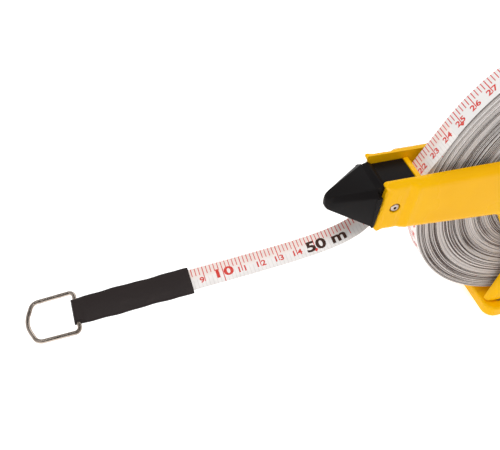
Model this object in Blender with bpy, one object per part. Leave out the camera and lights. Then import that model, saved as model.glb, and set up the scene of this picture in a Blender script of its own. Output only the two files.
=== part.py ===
"""Open-reel fibreglass tape measure, 50 m: frame, reel, folding crank, tape, sleeve and end ring.

Metres, +Z up.  The nose points to -X, the handle to +X, and the reel turns about an axis along Y.
The origin is the middle of the flat underside of the foot, below the reel's axis.
"""
import math

import bmesh
import bpy
from mathutils import Matrix, Vector

MM = 0.001

# ---- driving sizes -------------------------------------------------------------------------
GAP = 0.3 * MM                     # clearance between pieces that touch in the real object
HUB_HEIGHT = 101.0 * MM            # reel axis above the floor

TAPE_WIDTH = 12.5 * MM
TAPE_THICKNESS = 0.42 * MM
PACK_RADIUS = 90.0 * MM            # 50 m of tape, wound with its printed face outwards
DRUM_RADIUS = 24.0 * MM            # radius on which the tape is wound

SIDE_CLEARANCE = 3.55 * MM         # between the wound tape and each side frame
TAB_THICKNESS = 3.75 * MM          # side frame at the front tab
FRAME_THICKNESS = 5.5 * MM         # side frame behind the step
FRAME_EDGE_RADIUS = 1.1 * MM

NOSE_FRONT = 119.2 * MM            # front edge of the side frames, from the reel axis
NOSE_ARM_TOP = 23.5 * MM           # top edge of the nose arm above the reel axis
NOSE_ARM_BOTTOM = 6.6 * MM         # bottom edge at the front, below the reel axis
NOSE_ARM_ROOT = 13.0 * MM          # bottom edge where it meets the hub
STEP_FROM_AXIS = 102.7 * MM        # slanted step between front tab and thick arm
STEP_SLANT = 3.4 * MM
HUB_RING_RADIUS = 43.0 * MM

BEAK_LENGTH = 23.7 * MM            # how far the nose block stands out of the side frames
BEAK_TIP_HALF_WIDTH = 3.0 * MM
RIVET_FROM_AXIS = 110.0 * MM
RIVET_HEIGHT = 8.2 * MM
RIVET_RADIUS = 1.3 * MM
RIVET_HEAD_RADIUS = 2.4 * MM
RIVET_SEAT_DEPTH = 1.0 * MM
BRIDGE_FROM_AXIS = 95.4 * MM
BRIDGE_THICKNESS = 3.0 * MM
DECK_HEIGHT = 19.2 * MM            # flat top of the nose block between the side frames
RIDGE_HEIGHT = 21.2 * MM           # cross ridge in front of the deck
RIDGE_FROM_AXIS = 117.2 * MM

FOOT_LENGTH = 57.0 * MM            # along X
FOOT_WIDTH = 40.0 * MM             # along Y
FOOT_THICKNESS = 7.5 * MM
FOOT_SCREW_SPACING = 36.0 * MM
FOOT_SCREW_RADIUS = 1.5 * MM
FOOT_SCREW_HEAD_RADIUS = 2.9 * MM
SCREW_RECESS = 0.6 * MM            # screw heads stay this far above the floor
FOOT_SCREW_LENGTH = 14.0 * MM

HANDLE_TILT = math.radians(34.0)   # handle direction above +X
GRIP_DISTANCE = 138.0 * MM         # grip axis from the reel axis
GRIP_BAR_WIDTH = 20.0 * MM
HAND_CORNER = 5.5 * MM
GRIP_LENGTH = 82.0 * MM
GRIP_WALL = 3.0 * MM
GRIP_ROUND = 1.2 * MM
HANDLE_SCREW_SPACING = 120.0 * MM
HANDLE_SCREW_RADIUS = 2.0 * MM
HANDLE_ARM_WIDTH = 17.0 * MM

AXLE_RADIUS = 4.0 * MM
AXLE_HEAD_RADIUS = 7.0 * MM
BEARING_RADIUS = 34.0 * MM         # bore of the near side frame, in which the hub turns
WELL_RADIUS = 19.5 * MM            # hollow of the hub that takes the folded knob
WELL_FLOOR = 3.0 * MM

CRANK_DIRECTION = math.radians(-52.0)
CRANK_HINGE_RADIUS = 28.0 * MM
CRANK_LENGTH = 34.0 * MM           # hinge to knob
CRANK_WIDTH = 12.0 * MM
CRANK_THICKNESS = 5.0 * MM
CRANK_STANDOFF = 1.8 * MM          # between the hub face and the crank arm
CRANK_PIN_RADIUS = 1.25 * MM
LUG_THICKNESS = 3.0 * MM
LUG_HALF_LENGTH = 3.6 * MM
KNOB_RADIUS = 8.0 * MM
KNOB_LENGTH = 16.0 * MM
KNOB_PIN_RADIUS = 2.0 * MM

RUN_SLOPE = math.radians(62.3)     # tape between the coil and the bridge
MOUTH_SLOPE = math.radians(45.0)   # tape through the nose
FREE_SLOPE = math.radians(7.0)     # tape far out of the nose
FREE_TWIST = math.radians(9.3)
RELAX_LENGTH = 16.8 * MM           # over this length the tape gives up 63 % of its bend
RUN_LENGTH = 29.0 * MM
MOUTH_BEYOND = 0.23 * MM           # the tape stays straight this far past the front of the frames
FREE_LENGTH = 96.2 * MM            # from the nose to the mouth of the sleeve

SLEEVE_LENGTH = 62.0 * MM
SLEEVE_WIDTH = 15.4 * MM
SLEEVE_THICKNESS = 2.3 * MM
TAPE_IN_SLEEVE = 44.0 * MM
RING_WIRE_RADIUS = 1.15 * MM
RING_WIDTH = 23.3 * MM             # between wire centres
RING_LENGTH = 27.0 * MM

# ---- worked out ----------------------------------------------------------------------------
HALF_TAPE = TAPE_WIDTH / 2
FRAME_INNER = HALF_TAPE + SIDE_CLEARANCE
TAB_OUTER = FRAME_INNER + TAB_THICKNESS
FRAME_OUTER = FRAME_INNER + FRAME_THICKNESS
HALF_INSIDE = FRAME_INNER - GAP    # half width of what fits between the side frames
FOOT_TOP = FOOT_THICKNESS - HUB_HEIGHT
HUB = Vector((0.0, 0.0, HUB_HEIGHT))
CUT_DEPTH = FRAME_OUTER + 10 * MM  # cutters reach this far from the middle plane
TAPE_RADIUS = PACK_RADIUS + GAP + TAPE_THICKNESS / 2    # tape's middle line where it leaves the coil
LEAVE_ANGLE = RUN_SLOPE + math.pi / 2
BEND_X = TAPE_RADIUS * math.cos(LEAVE_ANGLE) - RUN_LENGTH * math.cos(RUN_SLOPE)
BEND_Z = TAPE_RADIUS * math.sin(LEAVE_ANGLE) - RUN_LENGTH * math.sin(RUN_SLOPE)
MOUTH_LENGTH = (NOSE_FRONT + MOUTH_BEYOND + BEND_X) / math.cos(MOUTH_SLOPE)


# ---- materials -----------------------------------------------------------------------------
def make_material(name, colour, roughness, metallic=0.0):
    """A plain Principled material."""
    material = bpy.data.materials.new(name)
    material.use_nodes = True
    shader = material.node_tree.nodes["Principled BSDF"]
    shader.inputs["Base Color"].default_value = (*colour, 1.0)
    shader.inputs["Roughness"].default_value = roughness
    shader.inputs["Metallic"].default_value = metallic
    return material


# ---- outlines ------------------------------------------------------------------------------
def rounded(corners, step=math.radians(20)):
    """Closed outline through corners (x, z, radius), each corner rounded with an arc."""
    points = []
    count = len(corners)
    for index, (x, z, radius) in enumerate(corners):
        corner = Vector((x, z))
        back = Vector(corners[index - 1][:2]) - corner
        ahead = Vector(corners[(index + 1) % count][:2]) - corner
        shorter = min(back.length, ahead.length)
        back, ahead = back.normalized(), ahead.normalized()
        half = math.acos(max(-1.0, min(1.0, back.dot(ahead)))) / 2
        if radius <= 0.0 or half > math.radians(88):
            points.append(corner)
            continue
        radius = min(radius, 0.49 * shorter * math.tan(half))
        centre = corner + (back + ahead).normalized() * (radius / math.sin(half))
        start = corner + back * (radius / math.tan(half)) - centre
        end = corner + ahead * (radius / math.tan(half)) - centre
        turn = math.atan2(start.x * end.y - start.y * end.x, start.dot(end))
        steps = max(1, math.ceil(abs(turn) / step))
        points += [centre + Matrix.Rotation(turn * i / steps, 2) @ start for i in range(steps + 1)]
    return points


def circle(radius, count=24, centre=(0.0, 0.0)):
    """Points of a circle."""
    angles = [2 * math.pi * index / count for index in range(count)]
    return [Vector((centre[0] + radius * math.cos(a), centre[1] + radius * math.sin(a))) for a in angles]


# ---- solids --------------------------------------------------------------------------------
def prism(outline, y_low, y_high):
    """Outline in (x, z), extruded from y_low to y_high."""
    bm = bmesh.new()
    face = bm.faces.new([bm.verts.new((p[0], y_low, p[1])) for p in outline])
    extruded = bmesh.ops.extrude_face_region(bm, geom=[face])
    moved = [item for item in extruded["geom"] if isinstance(item, bmesh.types.BMVert)]
    bmesh.ops.translate(bm, verts=moved, vec=(0.0, y_high - y_low, 0.0))
    bmesh.ops.recalc_face_normals(bm, faces=bm.faces)
    return bm


def round_rims(bm, radius, planes, segments=2):
    """Round the edges that lie in one of the planes y."""
    edges = [edge for edge in bm.edges
             if any(all(abs(v.co.y - y) < 1e-6 for v in edge.verts) for y in planes)]
    bmesh.ops.bevel(bm, geom=edges, offset=radius, segments=segments, affect="EDGES", profile=0.5)
    return bm


def turned(profile, count=32):
    """Closed profile of (radius, y) turned about the Y axis; radius 0 closes on the axis."""
    bm = bmesh.new()
    verts = [bm.verts.new((radius, y, 0.0)) for radius, y in profile]
    loop = verts if profile[0][0] <= 0.0 and profile[-1][0] <= 0.0 else verts + verts[:1]
    edges = [bm.edges.new(pair) for pair in zip(loop, loop[1:])]
    bmesh.ops.spin(bm, geom=verts + edges, cent=(0, 0, 0), axis=(0, 1, 0), angle=2 * math.pi,
                   steps=count, use_merge=True)
    bmesh.ops.remove_doubles(bm, verts=bm.verts, dist=1e-6)
    bmesh.ops.recalc_face_normals(bm, faces=bm.faces)
    return bm


def skin(sections, closed=False):
    """Solid through sections, each a list of the same number of points."""
    bm = bmesh.new()
    rings = [[bm.verts.new(point) for point in section] for section in sections]
    pairs = list(zip(rings, rings[1:] + rings[:1])) if closed else list(zip(rings, rings[1:]))
    for low, high in pairs:
        for i in range(len(low)):
            j = (i + 1) % len(low)
            bm.faces.new((low[i], low[j], high[j], high[i]))
    if not closed:
        bm.faces.new(list(reversed(rings[0])))
        bm.faces.new(rings[-1])
    bmesh.ops.recalc_face_normals(bm, faces=bm.faces)
    return bm


def add_piece(name, bm, material, parent=None, smooth=35.0):
    """Object made of a bmesh, in its parent's own axes."""
    mesh = bpy.data.meshes.new(name)
    bm.to_mesh(mesh)
    bm.free()
    mesh.materials.append(material)
    mesh.shade_smooth()
    mesh.set_sharp_from_angle(angle=math.radians(smooth))
    piece = bpy.data.objects.new(name, mesh)
    bpy.context.scene.collection.objects.link(piece)
    piece.parent = parent
    return piece


def add_axis(name, location, parent=None, turn=0.0):
    """Empty on a joint's axis; turn is the direction of its X axis above +X."""
    empty = bpy.data.objects.new(name, None)
    bpy.context.scene.collection.objects.link(empty)
    empty.parent = parent
    empty.location = location
    empty.rotation_euler = (0.0, -turn, 0.0)
    return empty


def cut(piece, name, bm, parent=None):
    """Take a cutter out of a piece."""
    mesh = bpy.data.meshes.new(name)
    bm.to_mesh(mesh)
    bm.free()
    cutter = bpy.data.objects.new(name, mesh)
    bpy.context.scene.collection.objects.link(cutter)
    cutter.parent = parent
    cutter.hide_render = True
    cutter.display_type = "WIRE"
    modifier = piece.modifiers.new(name, "BOOLEAN")
    modifier.operation = "DIFFERENCE"
    modifier.solver = "EXACT"
    modifier.object = cutter


def drill(piece, name, x, z, radius, span, parent, count=20):
    """Round hole along Y, over a span of y."""
    cut(piece, name, prism(circle(radius, count, (x, z)), *span), parent)


# ---- tape route ----------------------------------------------------------------------------
def tape_stations(length, step=2.5 * MM):
    """Points of the tape's middle line from the coil outwards, with their tangent and width axes.

    The tape runs straight from the coil to the bridge, straight through the nose, and then gives up
    its bend along an exponential, the way a springy strip does, while it twists a little.
    """
    point = Vector((math.cos(LEAVE_ANGLE), 0.0, math.sin(LEAVE_ANGLE))) * TAPE_RADIUS
    count = round(length / step)
    step = length / count
    stations = []
    for index in range(count + 1):
        along = index * step
        outside = max(0.0, along - RUN_LENGTH - MOUTH_LENGTH)
        turned_in = min(1.0, max(0.0, (along - RUN_LENGTH) / (2 * step)))
        slope = RUN_SLOPE + (MOUTH_SLOPE - RUN_SLOPE) * turned_in
        left = math.exp(-outside / RELAX_LENGTH)
        if outside > 0.0:
            slope = FREE_SLOPE + (MOUTH_SLOPE - FREE_SLOPE) * left
        twist = FREE_TWIST * (1.0 - left)
        across = Vector((0.0, math.cos(twist), math.sin(twist)))
        lift = Vector((0.0, -math.sin(twist), math.cos(twist)))
        outward = -(math.cos(slope) * Vector((1.0, 0.0, 0.0)) + math.sin(slope) * lift)
        stations.append((point.copy(), outward, across, outward.cross(across)))
        point += outward * step
    return stations


def strip(stations, width, thickness):
    """Flat strip along stations."""
    sections = []
    for point, _, across, up in stations:
        half, rise = across * (width / 2), up * (thickness / 2)
        sections.append([point - half - rise, point + half - rise,
                         point + half + rise, point - half + rise])
    return skin(sections)


# ---- side frames ---------------------------------------------------------------------------
def to_handle(distance, across):
    """Point (x, z) in the handle's axes: distance from the reel axis and across."""
    cosine, sine = math.cos(HANDLE_TILT), math.sin(HANDLE_TILT)
    return (distance * cosine - across * sine, distance * sine + across * cosine)


def frame_outline():
    """Outer edge of a side frame: nose arm, foot arm and the two arms of the handle."""
    foot_half = FOOT_LENGTH / 2 - 1.5 * MM
    handle_end = HANDLE_SCREW_SPACING / 2 + HANDLE_ARM_WIDTH / 2
    grip_outer = GRIP_DISTANCE + GRIP_BAR_WIDTH / 2
    grip_inner = GRIP_DISTANCE - GRIP_BAR_WIDTH / 2
    low_outer = to_handle(grip_outer, -handle_end)
    low_inner = to_handle(grip_inner - 10 * MM, -handle_end)
    low_root = to_handle(26 * MM, -HUB_RING_RADIUS + 2 * MM)
    high_outer = to_handle(grip_outer, handle_end)
    high_inner = to_handle(grip_inner - 10 * MM, handle_end)
    high_root = to_handle(20 * MM, HUB_RING_RADIUS - 1 * MM)
    hub = HUB_RING_RADIUS
    return [
        (-NOSE_FRONT + 1.6 * MM, -NOSE_ARM_BOTTOM, 1.8 * MM),
        (-hub * 1.02, -NOSE_ARM_ROOT, 9 * MM),
        (-hub * 0.70, -hub * 0.86, 8 * MM),
        (-foot_half + 7.5 * MM, -62 * MM, 30 * MM),
        (-foot_half, FOOT_TOP + GAP, 1.0 * MM),
        (foot_half, FOOT_TOP + GAP, 1.0 * MM),
        (foot_half - 7.5 * MM, -62 * MM, 30 * MM),
        (*low_root, 14 * MM),
        (*low_inner, 14 * MM),
        (*low_outer, 12 * MM),
        (*high_outer, 12 * MM),
        (*high_inner, 14 * MM),
        (*high_root, 16 * MM),
        (-hub * 0.50, hub * 0.88, 16 * MM),
        (-hub * 1.16, NOSE_ARM_TOP - 0.3 * MM, 14 * MM),
        (-NOSE_FRONT + 1.0 * MM, NOSE_ARM_TOP + 0.5 * MM, 2.4 * MM),
        (-NOSE_FRONT + 3.2 * MM, NOSE_ARM_TOP - 3.7 * MM, 2.4 * MM),
        (-NOSE_FRONT - 0.3 * MM, -NOSE_ARM_BOTTOM + 2.6 * MM, 1.2 * MM),
    ]


def hand_opening():
    """Opening of a side frame between the two arms of the handle."""
    inner = GRIP_DISTANCE - GRIP_BAR_WIDTH / 2
    half = HANDLE_SCREW_SPACING / 2 - HANDLE_ARM_WIDTH / 2
    root = HUB_RING_RADIUS + 9 * MM
    return [(*to_handle(root, -13 * MM), 9 * MM), (*to_handle(inner, -half), HAND_CORNER),
            (*to_handle(inner, half), HAND_CORNER), (*to_handle(root, 13 * MM), 9 * MM)]


def add_side_frame(name, side, material, parent):
    """One of the two moulded side frames; side is -1 for the near one and 1 for the far one."""
    inner, outer = side * FRAME_INNER, side * FRAME_OUTER
    bm = prism(rounded(frame_outline()), min(inner, outer), max(inner, outer))
    round_rims(bm, FRAME_EDGE_RADIUS, [outer])
    piece = add_piece(name, bm, material, parent)

    through = (min(0.0, side * CUT_DEPTH), max(0.0, side * CUT_DEPTH))
    tab, beyond = side * TAB_OUTER, side * CUT_DEPTH
    wide = NOSE_ARM_TOP + 20 * MM
    front = -NOSE_FRONT - 10 * MM
    block = [(front, -wide), (-STEP_FROM_AXIS - STEP_SLANT, -wide),
             (-STEP_FROM_AXIS + STEP_SLANT, wide), (front, wide)]
    cut(piece, name + "_tab_cut", prism(block, min(tab, beyond), max(tab, beyond)), parent)
    cut(piece, name + "_hand_cut", prism(rounded(hand_opening()), *through), parent)
    drill(piece, name + "_rivet_cut", -RIVET_FROM_AXIS, RIVET_HEIGHT, RIVET_RADIUS + GAP, through, parent)
    seat = side * (TAB_OUTER - RIVET_SEAT_DEPTH)
    drill(piece, name + "_seat_cut", -RIVET_FROM_AXIS, RIVET_HEIGHT, RIVET_HEAD_RADIUS + GAP,
          (min(seat, beyond), max(seat, beyond)), parent)
    bore, count = (BEARING_RADIUS, 64) if side < 0 else (AXLE_RADIUS + GAP, 24)
    drill(piece, name + "_hub_cut", 0.0, 0.0, bore, through, parent, count)
    for index, across in enumerate((-HANDLE_SCREW_SPACING / 2, HANDLE_SCREW_SPACING / 2)):
        drill(piece, f"{name}_handle_cut_{index}", *to_handle(GRIP_DISTANCE, across),
              HANDLE_SCREW_RADIUS + GAP, through, parent)
    for index, x in enumerate((-FOOT_SCREW_SPACING / 2, FOOT_SCREW_SPACING / 2)):
        cut(piece, f"{name}_foot_cut_{index}", foot_screw_solid(x, side, GAP), parent)
    return piece


def foot_screw_solid(x, side, margin=0.0):
    """Countersunk screw that stands in the foot and the end of a side frame, grown by a margin."""
    bottom = SCREW_RECESS - margin * (3.0 if margin else 0.0)
    head, shank = FOOT_SCREW_HEAD_RADIUS + margin, FOOT_SCREW_RADIUS + margin
    profile = [(0.0, bottom), (head, bottom), (head, SCREW_RECESS + 0.4 * MM),
               (shank, SCREW_RECESS + 2.2 * MM),
               (shank, FOOT_SCREW_LENGTH + margin), (0.0, FOOT_SCREW_LENGTH + margin)]
    bm = turned(profile, 16)
    place = Matrix.Translation((x, side * (FRAME_INNER + FRAME_OUTER) / 2, -HUB_HEIGHT))
    bmesh.ops.transform(bm, matrix=place @ Matrix.Rotation(math.pi / 2, 4, "X"), verts=bm.verts)
    return bm


def add_frame(parent):
    """Side frames, bridge, foot, handle and what holds them together."""
    yellow = make_material("yellow_abs", (0.93, 0.50, 0.012), 0.32)
    steel = make_material("nickel_steel", (0.62, 0.60, 0.57), 0.25, 1.0)
    rubber = make_material("black_rubber", (0.02, 0.02, 0.02), 0.75)
    add_side_frame("side_frame_near", -1, yellow, parent)
    add_side_frame("side_frame_far", 1, yellow, parent)

    rear, front = -BRIDGE_FROM_AXIS + BRIDGE_THICKNESS / 2, -BRIDGE_FROM_AXIS - BRIDGE_THICKNESS / 2
    top = DECK_HEIGHT + 0.3 * MM
    bridge = [(front, tape_height(front) + 1.4 * MM), (rear, tape_height(rear) + 1.6 * MM),
              (rear, top), (front, top)]
    add_piece("nose_bridge", prism(rounded([(x, z, 0.5 * MM) for x, z in bridge]), -HALF_INSIDE, HALF_INSIDE),
              yellow, parent)

    half_x, half_y, corner = FOOT_LENGTH / 2, FOOT_WIDTH / 2, 7 * MM
    plan = rounded([(-half_x, -half_y, corner), (half_x, -half_y, corner), (half_x, half_y, corner),
                    (-half_x, half_y, corner)])
    foot = prism(plan, 0.0, FOOT_THICKNESS)
    round_rims(foot, 1.2 * MM, [0.0, FOOT_THICKNESS], segments=2)
    stand = Matrix.Translation((0, 0, -HUB_HEIGHT)) @ Matrix.Rotation(math.pi / 2, 4, "X")
    bmesh.ops.transform(foot, matrix=stand, verts=foot.verts)
    foot_bar = add_piece("foot_bar", foot, yellow, parent)
    places = [(x, side) for side in (-1, 1) for x in (-FOOT_SCREW_SPACING / 2, FOOT_SCREW_SPACING / 2)]
    for index, (x, side) in enumerate(places, 1):
        cut(foot_bar, f"foot_bar_cut_{index}", foot_screw_solid(x, side, GAP), parent)
        add_piece(f"foot_screw_{index}", foot_screw_solid(x, side), steel, parent)

    add_handle(yellow, steel, rubber, parent)


def handle_box(half_along, half_across, corner):
    """Rounded rectangle about the grip's middle, in (x, z)."""
    return rounded([(*to_handle(GRIP_DISTANCE + u * half_along, v * half_across), corner)
                    for u, v in ((-1, -1), (1, -1), (1, 1), (-1, 1))])


def add_handle(yellow, steel, rubber, parent):
    """Core between the side frames, its two screws with nuts, and the rubber grip round it all."""
    core = prism(handle_box(GRIP_BAR_WIDTH / 2 - 1 * MM, HANDLE_SCREW_SPACING / 2 + 7 * MM, 7 * MM),
                 -HALF_INSIDE, HALF_INSIDE)
    handle_core = add_piece("handle_core", core, yellow, parent)

    bore = GRIP_BAR_WIDTH / 2 + GAP
    half_width, half_depth = bore + GRIP_WALL, FRAME_OUTER + GAP + GRIP_WALL
    sections = []
    for across, inset in ((-GRIP_LENGTH / 2, GRIP_ROUND), (-GRIP_LENGTH / 2 + GRIP_ROUND, 0.0),
                          (GRIP_LENGTH / 2 - GRIP_ROUND, 0.0), (GRIP_LENGTH / 2, GRIP_ROUND)):
        u, y, corner = half_width - inset, half_depth - inset, 3 * GRIP_WALL - inset
        outline = rounded([(-u, -y, corner), (u, -y, corner), (u, y, corner), (-u, y, corner)],
                          math.radians(18))
        places = [to_handle(GRIP_DISTANCE + point.x, across) for point in outline]
        sections.append([(x, point.y, z) for (x, z), point in zip(places, outline)])
    handle_grip = add_piece("handle_grip", skin(sections), rubber, parent)
    cut(handle_grip, "handle_grip_cut", prism(handle_box(bore, GRIP_LENGTH, 0.0), -FRAME_OUTER - GAP,
                                              FRAME_OUTER + GAP), parent)

    through = (-CUT_DEPTH, CUT_DEPTH)
    for word, across in (("lower", -HANDLE_SCREW_SPACING / 2), ("upper", HANDLE_SCREW_SPACING / 2)):
        x, z = to_handle(GRIP_DISTANCE, across)
        drill(handle_core, f"handle_core_cut_{word}", x, z, HANDLE_SCREW_RADIUS + GAP, through, parent)
        face, head = FRAME_OUTER + GAP, HANDLE_SCREW_RADIUS * 1.9
        end = face + 3.4 * MM
        screw = turned([(0.0, -face - 2.0 * MM), (head * 0.7, -face - 2.0 * MM), (head, -face - 0.9 * MM),
                        (head, -face), (HANDLE_SCREW_RADIUS, -face), (HANDLE_SCREW_RADIUS, end), (0.0, end)], 20)
        bmesh.ops.translate(screw, verts=screw.verts, vec=(x, 0, z))
        add_piece(f"handle_screw_{word}", screw, steel, parent)
        nut = add_piece(f"handle_nut_{word}", prism(circle(head, 6, (x, z)), face, face + 2.8 * MM),
                        steel, parent)
        drill(nut, f"handle_nut_cut_{word}", x, z, HANDLE_SCREW_RADIUS + GAP, through, parent)


# ---- nose ----------------------------------------------------------------------------------
def tape_height(x):
    """Height of the tape's middle line at x, inside the nose."""
    return BEND_Z + (x - BEND_X) * math.tan(MOUTH_SLOPE)


def beak_section(x, half_width, half_top, top, shoulder, bottom):
    """Six-sided section of the beak: flat top, slanted shoulders, upright sides, flat underside."""
    return [(x, -half_width, bottom), (x, half_width, bottom),
            (x, half_width, shoulder), (x, half_top, top),
            (x, -half_top, top), (x, -half_width, shoulder)]


def add_nose(parent):
    """Black beak with the deck behind it, and the rivet that holds it between the side frames."""
    black = make_material("black_plastic", (0.012, 0.011, 0.011), 0.38)
    nickel = make_material("nickel_rivet", (0.70, 0.68, 0.65), 0.22, 1.0)
    ridge, deck = RIDGE_HEIGHT, DECK_HEIGHT
    rear = -BRIDGE_FROM_AXIS - BRIDGE_THICKNESS / 2 - GAP
    root = -NOSE_FRONT - 0.8 * MM
    under = 1.3 * MM
    low = -NOSE_ARM_BOTTOM + 3.6 * MM
    front_top = ridge - 1.1 * MM
    inside = [(rear, deck), (rear, tape_height(rear) + under),
              (root + 4 * MM, tape_height(root + 4 * MM) + under),
              (root - 1 * MM, low), (root - 1 * MM, front_top - 0.5 * MM), (root, front_top),
              (-RIDGE_FROM_AXIS, ridge), (-RIDGE_FROM_AXIS + 2.6 * MM, deck)]
    block = add_piece("nose_block", prism(inside, -HALF_INSIDE, HALF_INSIDE), black, parent)

    tip = -NOSE_FRONT - BEAK_LENGTH
    half = TAB_OUTER
    point = BEAK_TIP_HALF_WIDTH
    shoulder = ridge - 4.1 * MM
    sections = [beak_section(root, half, HALF_INSIDE, front_top, shoulder, low),
                beak_section(root - 2 * MM, half - 0.4 * MM, HALF_INSIDE - 0.4 * MM, front_top - 0.7 * MM,
                             shoulder - 0.6 * MM, low + 0.5 * MM),
                beak_section(tip + 2 * MM, point, point * 0.7, 12.6 * MM, 9.4 * MM, 4.6 * MM),
                beak_section(tip, point * 0.55, point * 0.4, 10.6 * MM, 9.0 * MM, 6.4 * MM)]
    join(block, "nose_beak", skin(sections), parent)
    rim = [(root - 1 * MM, shoulder - 0.5 * MM), (-NOSE_FRONT + 1.3 * MM, shoulder - 0.5 * MM),
           (-NOSE_FRONT - 0.6 * MM, low), (root - 1 * MM, low)]
    join(block, "nose_rim", prism(rim, -half, half), parent)
    drill(block, "nose_rivet_cut", -RIVET_FROM_AXIS, RIVET_HEIGHT, RIVET_RADIUS + GAP,
          (-CUT_DEPTH, CUT_DEPTH), parent, 16)

    head, seat = RIVET_HEAD_RADIUS, TAB_OUTER - RIVET_SEAT_DEPTH + GAP
    face, bore = seat + 0.6 * MM, RIVET_RADIUS * 0.5
    rivet = turned([(bore, -face), (head, -face), (head, -seat), (RIVET_RADIUS, -seat), (RIVET_RADIUS, seat),
                    (head, seat), (head, face), (bore, face)], 24)
    bmesh.ops.translate(rivet, verts=rivet.verts, vec=(-RIVET_FROM_AXIS, 0, RIVET_HEIGHT))
    add_piece("nose_rivet", rivet, nickel, parent)


def join(piece, name, bm, parent):
    """Weld another solid onto a piece."""
    mesh = bpy.data.meshes.new(name)
    bm.to_mesh(mesh)
    bm.free()
    addition = bpy.data.objects.new(name, mesh)
    bpy.context.scene.collection.objects.link(addition)
    addition.parent = parent
    addition.hide_render = True
    addition.display_type = "WIRE"
    modifier = piece.modifiers.new(name, "BOOLEAN")
    modifier.operation = "UNION"
    modifier.solver = "EXACT"
    modifier.object = addition


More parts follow.
